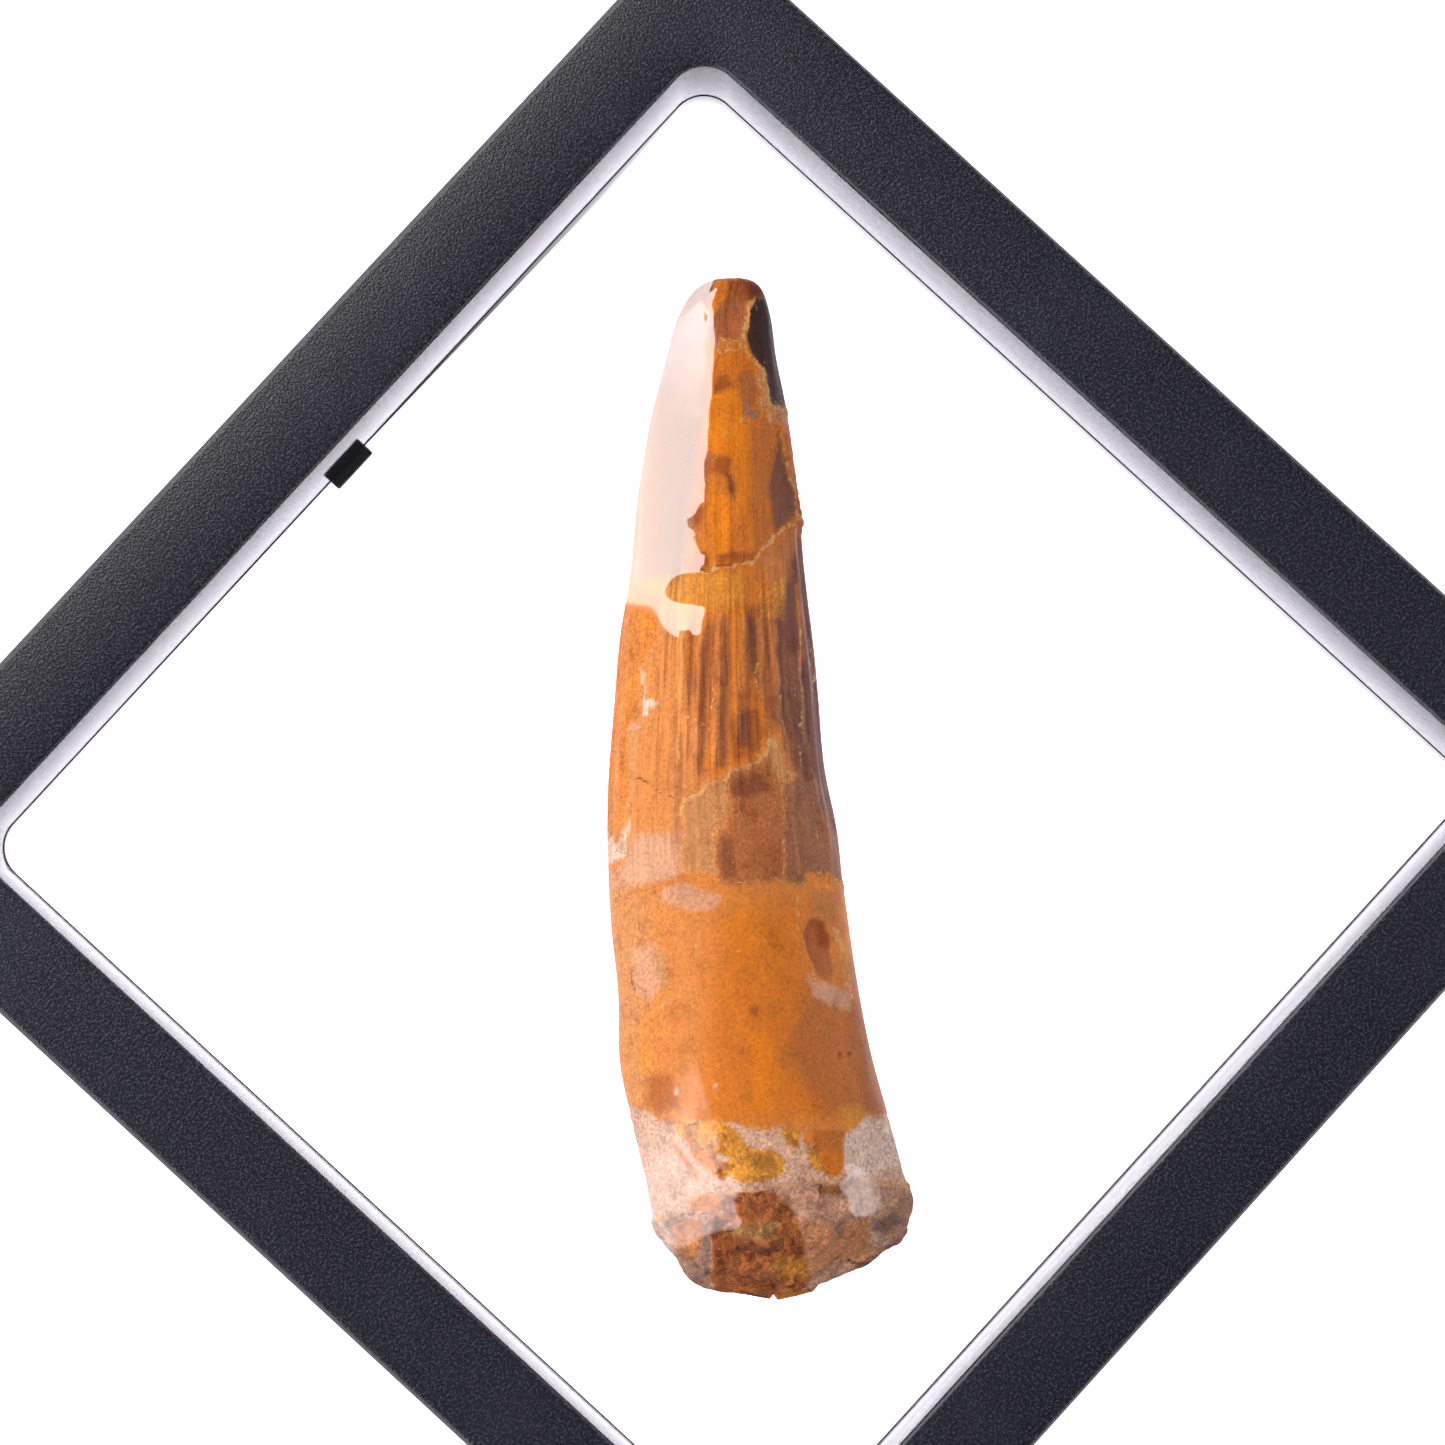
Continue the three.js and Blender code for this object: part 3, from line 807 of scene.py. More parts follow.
# Two flecks of golden matrix in the broken end
MIDDLE_GOLD = [(-27.2, 2.5), (-27, 3.6), (-27.6, 4.5), (-28.6, 4.4), (-28.6, 3.4), (-28, 2.9)]
RIGHT_GOLD = [(-29.1, 5.1), (-29, 6), (-30.1, 6.5), (-31, 6.2), (-30.5, 5.3)]

# Painted patches in order: colour, strength, softness of the edge and outline as (along, across)
PATCHES = [
    # Painted reflection: the tooth's upper left tinted grey-brown where the film's reflection lies, as that
    # reflection's haze
    (PAINTED_VEIL_HAZE, 0.9, 1.2, [(60, 2), (42, 0.5), (31, -0.5), (26, -1.6), (19, -2.2), (18.5, -7), (23, -30),
        (60, -30)]),
    # Painted light and shade: the right flank painted darker, toffee and mocha towards its edge, as shade,
    # and the left flank painted lighter, peach, as light from the left
    (TOFFEE, 0.75, 3, [(50, 4), (50, 30), (-6, 30), (-6, 7), (20, 4.5)]),
    (MOCHA, 0.6, 2.5, [(50, 6.5), (50, 30), (-6, 30), (-6, 9.5), (20, 6.5)]),
    (PEACH, 0.7, 2, [(50, -5), (50, -30), (-6, -30), (-6, -9.5), (22, -7)]),
    (CARAMEL, 0.9, 1, [(41, -1), (41.3, 5.4), (25.8, 6.9), (24.8, 6.3), (21.7, 2), (21.1, -3.2),
        (26.1, -2.4), (36.5, -0.6)]),
    (CARAMEL, 0.9, 0.3, [(40.3, -0.3), (40.3, 2.5), (39.2, 2.9), (37.7, 2.6), (36.7, 1.6), (36.9, -0.6)]),
    (BURNT, 0.75, 0.25, [(38.1, -0.2), (38.1, 1), (37.3, 1.4), (36.7, 0.6), (36.9, -0.3)]),
    (AMBER, 1, 0.3, [(36.8, -0.6), (36.8, 1.6), (35.5, 2.1), (34.4, 2.2), (32.6, 3), (30.9, 2.7), (30.3, 2),
        (31.1, -1.2), (32.5, -1.3), (35, -0.8)]),
    (TOFFEE, 0.9, 0.25, [(38.2, 1.9), (39.1, 2.8), (38.2, 3.6), (37.2, 3.7), (35.3, 3.5), (35.3, 2.9),
        (36.1, 2.3)]),
    (RIM_TAN, 0.75, 0.2, [(38.7, 3.6), (38.5, 4.4), (37, 4.5), (35.2, 4.3), (35, 3.6), (36.7, 3.9)]),
    (GREY_BROWN, 0.8, 0.15, [(36.1, 2.4), (35.1, 3), (34.8, 3.8), (34.2, 3.4), (34.6, 2.6), (35.3, 2.3)]),
    (AMBER, 0.95, 0.45, [(27.2, -1.2), (28.2, -0.4), (26.5, 0.8), (25.4, 0.9), (22.7, 0.1), (22.7, -0.6),
        (24.7, -1.1)]),
    (AMBER, 0.7, 0.5, [(32, 1.6), (32, 2.8), (26, 2.3), (26.5, 1.5)]),
    (TOFFEE, 0.6, 0.6, [(34.2, 2.8), (34.6, 5), (30.4, 4.7), (26.5, 4.2), (23.8, 4.5), (22.5, 2.8),
        (28.1, 2.5)]),
    (BURNT, 0.8, 0.3, [(31, -0.6), (31.1, 0.8), (30.6, 1.2), (29.8, 0.8), (29.3, 0.3), (29.9, -0.6)]),
    (CHESTNUT, 0.75, 0.3, [(29.8, 0.3), (29.5, 1), (28.2, 1.3), (27.1, 1.1), (27.8, 0.7), (28.7, 0.5)]),
    (BURNT, 0.75, 0.25, [(27, -2.4), (26.6, -1.5), (25.5, -1.6), (24.8, -2.5), (25.9, -2.6)]),
    (TOFFEE, 0.9, 0.15, [(32.1, -1.4), (31.2, -0.3), (28.8, -1.2), (27.7, -1.5), (29.9, -1.7)]),
    (MOCHA, 0.9, 0.3, [(32.8, 5.1), (31, 5.6), (28.3, 6), (26.5, 6.4), (25.2, 5.7), (24.2, 4.6),
        (25.4, 4.3), (28.2, 4.3), (30.4, 4.5)]),
    (BURNT, 0.9, 0.2, [(22.5, -0.6), (22.7, 0.9), (22.4, 2.8), (21.9, 2.4), (21.6, 1.2), (21.5, -0.7)]),
    (BURNT, 0.9, 0.2, [(22.7, -2.7), (22.6, -1.4), (21.4, -1.3), (21.1, -3.2), (22.1, -3)]),
    (BURNT, 0.9, 0.25, [(46.9, 1.5), (47.3, 3.3), (46.4, 4.4), (45.9, 4.8), (45.2, 3.5), (44.8, 3.3),
        (44.4, 2.8), (45.2, 2.4), (45.8, 2), (45.8, 1.5)]),
    (CHESTNUT, 0.7, 0.25, [(46.9, 2.8), (46.5, 4.2), (45.5, 5.2), (45.1, 4.1), (45, 3.5)]),
    (FACET_BROWN, 1, 0.2, [(45.8, 1.5), (45.2, 1.1), (44.3, 0.4), (43.3, 0), (42.7, 0.2), (42, 0),
        (41.5, 0.2), (41.7, 2.3), (42, 2.7), (43.2, 2.8), (44.4, 2.8), (45.2, 2.4), (45.8, 2)]),
    (CARAMEL, 1, 0.12, [(47.4, 1.5), (47.4, 0.8), (46.5, 0.2), (45.8, 0), (44.9, -0.3), (44.3, -0.8),
        (43.4, -0.7), (43.4, -0.2), (43.9, 0.1), (44.6, 0.6), (45.2, 1.1), (45.8, 1.5)]),
    (GOLD, 0.9, 0.12, [(44.3, -0.6), (43.9, -0.2), (43.4, -0.3), (43.4, -0.6), (43.8, -0.8)]),
    (SEAL, 1, 0.12, [(44.8, 3.5), (45.1, 4.1), (45.1, 6.5), (35.2, 8), (35.3, 5.2), (36, 4.5), (37.8, 4.5),
        (38.7, 4.3), (39.7, 3.5), (40.7, 3.1), (41.6, 2.9), (43.4, 3.1), (44.4, 3.3)]),
    (UMBER, 0.7, 0.5, [(38.5, 4.6), (38.5, 8), (35, 8), (35.3, 5), (36, 4.5)]),
    (SANDY, 0.7, 0.2, [(35.4, 4.3), (36.1, 7.5), (34.3, 7.5), (33.9, 4.4)]),
    (FLECK_WHITE, 0.9, 0.06, [(44.6, 3.6), (44.4, 3.9), (44.3, 3.9), (44.5, 3.6)]),
    (APRICOT, 0.9, 0.8, [(18.3, -7.3), (17.8, -2.4), (6.4, -2.9), (2.2, -3.9), (3.6, -8.4), (11.6, -7.3)]),
    (SANDY, 0.7, 0.6, [(18.7, -9.5), (19, -6.8), (9.5, -7.4), (3.6, -8.6), (1.2, -10.7), (9.4, -10.1)]),
    (CARAMEL, 0.8, 0.6, [(21.4, -3.3), (22, 2.9), (17.7, 4.9), (8.4, 4.5), (5.2, 2.7), (3.4, -0.6),
        (3.2, -3.1)]),
    (AMBER, 0.85, 0.35, [(16.5, -3.3), (18.3, -2), (16.2, -2), (14.3, -2.4), (12.1, -2.9), (12.2, -4),
        (14.4, -3.6)]),
    (AMBER, 0.95, 0.35, [(17.7, 0.7), (17.7, 1.6), (14.4, 1.8), (11.1, 1.3), (11.4, 0.5), (14.4, 0.4)]),
    (OCHRE, 0.8, 0.5, [(20.8, -7.2), (20.9, 1.8), (17.9, 1.4), (17.9, -3.2), (17.7, -4.8)]),
    (BURNT, 0.75, 0.25, [(14.8, -2.1), (14, -1.9), (10.5, -2.3), (10.5, -3.1), (11.6, -3), (12.4, -2.7)]),
    (CHESTNUT, 0.6, 0.25, [(13.9, -0.8), (13.6, -0.3), (8, -0.5), (4.2, -1), (4.2, -1.5), (8.5, -0.9),
        (12.3, -1.3)]),
    (BURNT, 0.6, 0.3, [(8.5, -0.1), (9, 2.3), (6.8, 2.9), (5.2, 2.1), (4.2, -0.1)]),
    (TOFFEE, 0.7, 0.4, [(17.7, 1.6), (18.8, 4.7), (13.9, 5.3), (7.8, 4.4), (6.5, 3.3), (11.1, 2.4)]),
    (MOCHA, 0.75, 0.7, [(19.3, 4.7), (21.3, 7.4), (11.4, 8), (2, 8.1), (3, 5.3), (8.4, 4.2)]),
    (PLUM, 0.85, 0.45, [(16.7, 4.2), (19.6, 5.3), (24, 6.6), (24, 12), (-6, 12), (1, 6.6), (5.8, 5.4),
        (8.3, 3.6), (12.3, 4.2)]),
    (PLUM, 0.7, 0.25, [(17.1, 1.7), (16.8, 2.5), (12.3, 2.3), (11.7, 1.9), (14.5, 1.7)]),
    (PLUM, 0.7, 0.25, [(8.6, 0.8), (8.6, 1.7), (5.7, 1.5), (5.7, 0.5)]),
    (TOFFEE, 0.9, 0.12, [(20, 6), (19.9, 6.4), (16.4, 6.8), (13.3, 6.6), (12.9, 6.2), (16.7, 6.1)]),
    (TAUPE, 0.6, 0.3, [(14.1, 5.1), (13.8, 6.3), (10, 6.3), (10, 5.4), (11.7, 4.8)]),
    (OCHRE, 0.6, 0.35, [(19.6, 3.7), (20.2, 5.1), (16.7, 4.9), (16.7, 3.6), (18.1, 2.7)]),
    (CARAMEL, 0.75, 0.4, [(21, -8), (18.6, -6.1), (15.4, -6.1), (13.5, -7.5), (9.1, -7.7), (7.2, -8.9),
        (-4, -9.8), (-4, -13), (21, -13)]),
    (FLECK_WHITE, 0.8, 0.1, [(12.9, -7.4), (12.3, -7.2), (11.7, -7.3), (11.7, -7.6)]),
    (FLECK_WHITE, 0.8, 0.1, [(11.4, -7.3), (10.1, -7.2), (10, -6.2), (9.6, -6.3), (9.4, -7), (8.9, -7.1),
        (8.9, -7.5)]),
    (ROSE_SAND, 0.8, 0.15, [(8.1, -8.9), (8.1, -7.9), (7.6, -7.9), (7.8, -8.7)]),
    (FLECK_WHITE, 0.7, 0.12, [(0.2, -9), (-1.5, -9.4), (-3.4, -9.6), (-3.6, -11.5), (-1, -11),
        (-2, -10.2)]),
    (APRICOT, 0.7, 0.6, [(8.2, -8), (8.6, -3.6), (6.4, -2.1), (3.2, -2.8), (2, -4.7), (3.6, -8.4)]),
    (ROSE_SAND, 0.6, 0.8, [(-1.3, -8.8), (-1.5, -4.9), (-5.6, -4.8), (-6, -10.7), (-3.1, -9.5)]),
    (APRICOT, 0.95, 0.5, [(2.5, -7.9), (1.7, -5.5), (-1, -5.1), (-1, -8.9), (0.9, -9.1)]),
    (SANDY, 0.8, 0.5, [(1.1, -4.4), (2.1, -2.3), (3.1, -0.6), (0.9, -0.5), (-2, -1.7), (-5.7, -1.8),
        (-4.8, -4.5)]),
    (BLOCK_BROWN, 0.95, 0.4, [(3.4, -0.4), (4.1, 2.4), (4.1, 3.2), (1.9, 4.2), (-5.9, 3.8), (-6.3, -0.8),
        (-5.4, -1.8), (-1.7, -1.4), (0.4, -0.2)]),
    (CHESTNUT, 0.6, 0.4, [(3.1, -0.4), (3.3, 2.6), (1.9, 3.1), (1.4, 0.9), (1.7, -0.3)]),
    (CHESTNUT, 0.5, 0.5, [(-2.2, -1.4), (-2.3, -0.1), (-5.8, -0.2), (-5.7, -1.4)]),
    (BURNT, 0.45, 0.5, [(-2.9, 2.3), (-3, 3.7), (-5.9, 3.8), (-5.9, 2.2)]),
    (TAUPE, 0.9, 0.5, [(2.4, 4.2), (3, 5.6), (1.9, 7.5), (-6, 7.7), (-6.5, 4.1)]),
    (MOCHA, 0.6, 0.6, [(1.9, 7.8), (-5.1, 9.2), (-7.6, 9.3), (-6.3, 7.6)]),
    (SANDY, 0.85, 0.2, [(6.2, 3.1), (6, 4.1), (3.8, 4.3), (3, 5.6), (2.4, 4.2), (4.1, 3.2), (4.6, 2.7)]),
    (ROOT_ORANGE, 1.0, 0.2, below(MAIN_CRACK)),
    (PEACH, 0.8, 1, [(-5.7, -11.4), (-6.6, -7.5), (-14.9, -7.6), (-19, -9.3), (-24.3, -8.2), (-25.3, -10.1),
        (-14.7, -11.3)]),
    (APRICOT, 0.7, 1.2, [(-6.6, -7.5), (-6.3, -3.3), (-24.4, -4.1), (-24.8, -8)]),
    (CARAMEL, 0.85, 1.6, [(-8.7, -1.1), (-7.7, 5.8), (-15.5, 5.9), (-26, 8.1), (-27, -4.2), (-17.7, -3)]),
    (AMBER, 0.7, 0.8, [(-18.9, 0.3), (-19, 2.1), (-22.6, 2.7), (-25.7, 1.8), (-25.1, 0.3), (-22, 0.7)]),
    (AMBER, 0.4, 0.9, [(-9, -1.6), (-7.8, 1.8), (-13.5, 1.3), (-13.4, -1)]),
    (TOFFEE, 0.75, 1.2, [(-15, 6), (-16.2, 10.3), (-26.2, 11.6), (-25.9, 7), (-21.1, 3.1), (-19.1, 3.7)]),
    (TAUPE, 0.45, 0.8, [(-13, 8.8), (-13, 10.5), (-27.8, 12.4), (-26.1, 10.2)]),
    (ROSE_SAND, 0.55, 0.25, [(-6.1, -6.7), (-5.7, -5.1), (-7.2, -1.5), (-8.2, -2.1), (-8, -4.9),
        (-7.2, -6.7)]),
    (ROSE_SAND, 0.5, 0.4, [(-11.2, -9.5), (-11, -7.4), (-14.2, -7), (-15.9, -8.1), (-14.8, -9.5)]),
    (MOSS_SAND, 0.55, 0.25, [(-11.3, -7.1), (-11.9, -6.5), (-14.7, -6.5), (-14.9, -7.2), (-13.1, -7.4)]),
    (GOLD, 0.6, 0.3, [(-9.6, -7.7), (-9.5, -7.1), (-10.3, -7.1), (-10.4, -7.8)]),
    (GOLD, 0.6, 0.3, [(-19.6, -8.8), (-19.6, -8.3), (-21.1, -8.4), (-22.1, -9.2), (-21.1, -9.4)]),
    (BURNT, 0.6, 0.5, [(-22.2, -8.8), (-22.2, -6.8), (-24.9, -5.9), (-25.3, -7.8), (-24.3, -8.8)]),
    (TAUPE, 0.4, 0.4, [(-6.6, 6.4), (-6.7, 8.5), (-10.4, 8.6), (-8.5, 6.3)]),
    (ROSE_SAND, 0.6, 0.3, [(-14.2, 5.7), (-14.8, 7.6), (-15.6, 9.2), (-17.3, 9.2), (-16.6, 7.5),
        (-15.8, 5.9)]),
    (BLOCK_BROWN, 1, 0.2, [(-9.1, 6.2), (-9.5, 7.2), (-11.3, 8), (-13.8, 8), (-14.7, 7.5), (-13.8, 6.6),
        (-12, 5.8), (-10.3, 5.7)]),
    (BURNT, 0.95, 0.2, [(-9.5, 7), (-9.6, 7.4), (-11.4, 8), (-12, 7.9), (-11.4, 7.2)]),
    (CHESTNUT, 0.9, 0.12, [(-21.1, 8.1), (-21.1, 8.4), (-21.5, 8.4), (-21.4, 8.1)]),
    (CHESTNUT, 0.9, 0.12, [(-20.9, 9), (-20.9, 9.4), (-21.4, 9.3), (-21.4, 9)]),
    (CHESTNUT, 0.5, 0.2, [(-16.6, 0.4), (-16.6, 1.3), (-17.4, 1.1), (-17.2, 0.5)]),
    (CREAM, 0.8, 0.1, [(-23.5, -6.3), (-23.5, -6), (-23.9, -6.1), (-23.8, -6.4)]),
    (CREAM, 0.8, 0.1, [(-23.1, -2.9), (-23.1, -2.7), (-23.4, -2.7), (-23.4, -3)]),
    (GOLD, 0.7, 0.4, [(-25.2, 8), (-25.8, 10), (-26.7, 10.7), (-27.4, 9.1), (-26.8, 7.8)]),
    (ROSE_SAND, 1.0, 0.2, below(ENAMEL_EDGE)),
    (GOLD, 1, 0.15, [(-26, -6.3), (-26.2, -2.2), (-27.4, -1.1), (-28.4, -0.3), (-29.1, 2), (-30.1, 2.9),
        (-31.2, 2.4), (-31.6, 1), (-31.9, -0.6), (-31.3, -2.4), (-30.4, -4.1), (-28.2, -5.5),
        (-27.2, -6.5)]),
    (CARAMEL, 0.8, 0.25, [(-28.9, -5.4), (-28.8, -4.1), (-29.9, -2.3), (-31, -2.9), (-30.4, -4.1)]),
    (DARK_GOLD, 0.75, 0.3, [(-29.1, -0.3), (-29, 1.8), (-30.6, 2.2), (-30.6, 0.5), (-29.9, -0.5)]),
    (DARK_GOLD, 0.7, 0.2, [(-26.5, -5.9), (-26.3, -4.3), (-27.5, -4.6), (-27.5, -5.6)]),
    (GOLD, 1, 0.15, MIDDLE_GOLD),
    (CARAMEL, 1, 0.12, [(-27.4, 5.5), (-27.5, 8.5), (-29.5, 8.1), (-31.2, 8), (-31.4, 6.7), (-30, 6.1),
        (-28.4, 5.4)]),
    (TOFFEE, 0.6, 0.4, [(-27.4, 5.5), (-27.5, 8.5), (-29.5, 8.1), (-29, 6.1)]),
    (GOLD, 1, 0.15, RIGHT_GOLD),
    (FLECK_WHITE, 0.9, 0.1, [(-29.1, -3), (-29.2, -2.3), (-29.9, -1.5), (-29.8, -2.3)]),
    (FLECK_WHITE, 0.9, 0.1, [(-31, -2.4), (-31.1, -1.7), (-31.5, -2)]),
    (LILAC_SAND, 0.8, 0.12, [(-27.8, 8.5), (-26.5, 10.2), (-27.7, 14), (-30.5, 15), (-31.4, 10.8),
        (-31.5, 9.1), (-30.1, 8.2)]),
    (CREAM, 0.55, 0.25, [(-28.7, 9.6), (-28.5, 10.7), (-29.7, 11.2), (-30.6, 10.3), (-30.3, 9.6)]),
    (CARAMEL, 0.9, 0.1, [(-27.9, -6.9), (-28.2, -6.5), (-30.9, -4.8), (-31.5, -4.7), (-31.1, -5.1),
        (-28.9, -6.7)]),
    (END_SAND, 1.0, 0.15, below(LEDGE)),
    (ROSE_SAND, 0.7, 0.4, [(-34, -9.5), (-33.5, -5.8), (-35.5, -7.4), (-38.5, -6.2), (-38.5, -9.5)]),
    (APRICOT, 0.6, 0.5, [(-35.3, 4), (-35.7, 6.6), (-35.6, 10.2), (-37.8, 11), (-39.4, 9.5), (-39.2, 7.3),
        (-40.4, 5.1), (-37.9, 4.5)]),
    (APRICOT, 0.9, 0.1, [(-32.9, -5.2), (-32.7, -4), (-33.1, -3), (-33.7, -2.1), (-34.4, -3.4),
        (-34.2, -4.8), (-34.1, -5.4)]),
    (VIOLET_GREY, 0.5, 0.25, [(-34.9, -7.7), (-35.1, -7), (-37.9, -6.4), (-40.3, -5.4), (-40.3, -4),
        (-36.1, -3.9), (-35.3, -4.5), (-38.5, -4.7), (-38.8, -6)]),
    (APRICOT, 0.8, 0.15, [(-35.1, -7), (-34.7, -4.7), (-36.4, -4.6), (-37.6, -4.8), (-38.5, -5.7),
        (-37.6, -6.4), (-36.4, -6.7)]),
    (TOFFEE, 1, 0.12, [(-32.7, -2), (-32.3, 0.8), (-33.3, 2.4), (-34.3, 3.5), (-35.6, 4), (-37.3, 4.5),
        (-38.8, 4.5), (-40.7, 5.1), (-42.5, 2.6), (-42, -3), (-40.3, -3.9), (-35, -3.7), (-34.6, -3.4),
        (-34.3, -1.4)]),
    (CHESTNUT, 0.85, 0.2, [(-34.7, -3.5), (-35.5, -2.6), (-36.2, -2.9), (-36.2, -3.6)]),
    (MOSS_SAND, 0.7, 0.4, [(-35.6, -2.6), (-35.4, -0.6), (-35.5, 2.3), (-36.9, 2), (-37, -0.6),
        (-36.5, -2)]),
    (CHESTNUT, 0.6, 0.4, [(-36.9, -2), (-37.1, -0.3), (-37.8, 2.2), (-38.5, 1.1), (-38.4, -0.7),
        (-38, -1.9)]),
    (BURNT, 0.7, 0.3, [(-36.1, -3.7), (-36.8, -2), (-38.5, -2), (-38.6, -3.7)]),
    (BURNT, 0.6, 0.3, [(-36.4, 3.1), (-37.3, 4.5), (-38.8, 4.3), (-38.3, 2.8)]),
    (GOLD, 0.7, 0.4, [(-38.7, 1.6), (-38.8, 4.3), (-40.7, 4.8), (-41.3, 2.7), (-40.2, 1.6)]),
    (TOFFEE, 0.9, 0.12, [(-32.7, -2), (-32.6, -1.3), (-32.4, 0.7), (-32.9, 1.1), (-34, 0.2), (-34.3, -1.4),
        (-33.7, -2.1)]),
    (DARK_GOLD, 0.9, 0.1, [(-31.9, 6), (-31.9, 8.9), (-32.4, 9), (-33.2, 7.4), (-33.2, 6.2), (-32.7, 5.9)]),
    (VIOLET_GREY, 0.6, 0.25, [(-35.7, 7), (-35.6, 8), (-37, 8), (-37.1, 7.3)]),
    (VIOLET_GREY, 0.65, 0.25, [(-35.5, 10.8), (-35, 12.8), (-35.9, 13.3), (-37.2, 11.6), (-36.6, 10.7)]),
    (VIOLET_GREY, 0.5, 0.25, [(-34.8, 8.2), (-34.7, 9.5), (-35.4, 9.5), (-35.5, 8.3)]),
    (CREAM, 0.55, 0.2, [(-36.8, 10.5), (-36.8, 11.3), (-37.9, 11.6), (-38.3, 10.9), (-37.6, 10.4)]),
    (ROSE_SAND, 0.8, 0.2, [(-31.5, -4.7), (-31.6, -2.4), (-31.9, -0.4), (-31.7, 1.7), (-31.5, 4.7),
        (-31.8, 6.7), (-31.8, 8.7), (-32.1, 8.7), (-31.9, 4.7), (-32.2, 3), (-32.4, 1.3), (-32.6, -1.9),
        (-32.7, -4), (-32.4, -5)]),
]

# Where the skin is rough and speckled: strength, softness of the edge and outline
GRAINY_PLACES = [
    (0.9, 0.5, [(21, -8), (18.6, -6.1), (15.4, -6.1), (13.5, -7.5), (9.1, -7.7), (7.2, -8.9), (-6, -9.8),
        (-6, -13), (21, -13)]),
    (0.8, 0.4, [(20.2, 2.5), (20.5, 5.1), (16.7, 5), (16.7, 3)]),
    (0.8, 0.4, [(14.1, 4.9), (13.8, 6.4), (5, 6.6), (5, 5.2), (11.7, 4.8)]),
    (0.8, 0.2, [(38.9, 3.2), (38.5, 4.5), (37, 4.6), (36.1, 7.5), (34, 7.5), (33.9, 2.5), (36.7, 3.6)]),
    (0.6, 0.8, [(3.8, -1), (4, 9), (-6, 10), (-6, -3)]),
    (0.4, 0.8, [(-6, -12), (-6, -6), (-14, -6), (-26, -8), (-26, -12)]),
    (0.9, 0.2, below(ENAMEL_EDGE)),
    (1.0, 0.3, below(LEDGE)),
]

# Where the stone shows crystals
CRYSTAL_PLACES = [
    (0.9, 0.2, [(-26, -6.3), (-26.2, -2.2), (-27.4, -1.1), (-28.4, -0.3), (-29.1, 2), (-30.1, 2.9),
        (-31.2, 2.4), (-31.9, -0.6), (-31.3, -2.4), (-30.4, -4.1), (-28.2, -5.5), (-27.2, -6.5)]),
    (0.9, 0.2, MIDDLE_GOLD),
    (0.9, 0.2, RIGHT_GOLD),
    (0.2, 0.3, below(ENAMEL_EDGE)),
    (0.45, 0.3, below(LEDGE)),
    (1, 0.2, [(-32.7, -2), (-32.3, 0.8), (-34.3, 3.5), (-38.8, 4.5), (-40.7, 5.1), (-42.5, 2.6), (-42, -3),
        (-40.3, -3.9), (-35, -3.7), (-34.3, -1.4)]),
]


# How strongly a flute's crest is painted light as a highlight and its groove dark as shade, where its groove
# lies and how it fades at its ends
CREST_PAINTED_HIGHLIGHT = 0.5
GROOVE_PAINTED_SHADE = 0.55
GROOVE_PLACE = 2.0
GROOVE_WIDTH = 1.2
FLUTE_FADE = (1, 1.5)

# Relief of the skin, in millimetres: waves, steps down, roughness, raised edges and hollows
FLUTE_WAVES = 0.10
LONG_WAVES = 0.05
ROOT_STEP = 0.22
WORN_STEP = 0.2
STONE_STEP = 0.3
WORN_ROUGHNESS = 0.12
STONE_ROUGHNESS = 0.4
CRYSTAL_HEIGHT = 0.35
CRUMB_HEIGHT = 0.5
VEIL_EDGE_HEIGHT = 0.22
CRACK_HEIGHT = 0.10
PIT_DEPTH = 0.9
FACET_DEPTH = 0.5

# Marks: how ragged their edges are and how much further to the tip they lie on the back
RAGGED = 0.28
BACK_SHIFT = 4.0

# Shape of the net of faces: closer together on the front, with its ends drawn to a point
FRONT_CROWDING = 0.4
END_SHARE = 1e-4
SKIN_RADIUS = 10


def cover(amount, shades, shade):
    """Lays a colour over others where the amount goes up to 1."""
    shades += (np.array(shade) - shades) * amount[:, None]


def paint(along, across):
    """Tint of the tooth's skin from its base colour and its patches, some of them painted light, shade and
    haze, and from its flutes, whose crests are painted light as highlights and whose grooves are painted
    dark as shade.
    """
    tint = np.tile(np.array(APRICOT), (len(along), 1))
    for shade, strength, softness, outline in PATCHES:
        cover(strength * within(outline, softness, along, across), tint, shade)
    crest, groove = flutes(along, across)
    # Flute crests painted lighter as highlights and grooves painted darker as shade
    cover(CREST_PAINTED_HIGHLIGHT * crest, tint, PEACH)
    cover(GROOVE_PAINTED_SHADE * groove, tint, PLUM)
    return tint


def strongest(places, along, across):
    """Highest strength of some places at each point."""
    amounts = [strength * within(outline, softness, along, across) for strength, softness, outline in places]
    return np.max(amounts, axis=0)


def flutes(along, across):
    """How much each point lies on the crest and in the groove of a flute, from 0 to 1."""
    crest = np.zeros(len(along))
    groove = np.zeros(len(along))
    outer, inner = FLUTE_FADE
    for strength, width, line in FLUTES:
        places, sides = np.array(line[::-1]).T
        away = (across - np.interp(along, places, sides)) / width
        fade = strength * smooth_step(along, places[0] - outer, places[0] + inner)
        fade *= 1 - smooth_step(along, places[-1] - inner, places[-1] + outer)
        crest = np.maximum(crest, fade * np.exp(-away**2))
        groove = np.maximum(groove, fade * np.exp(-((away - GROOVE_PLACE) / GROOVE_WIDTH) ** 2))
    return crest, groove


def streaks(along, across):
    """How strongly the fibres show: most on the crown, less on the block behind it, faint on the root."""
    crown = smooth_step(along, 1, 5) * (1 - 0.7 * smooth_step(along, 18, 22))
    block_behind = smooth_step(along, -6.5, -5.5)
    return 0.08 + 0.17 * block_behind + 0.55 * crown * smooth_step(across, -9, -5)


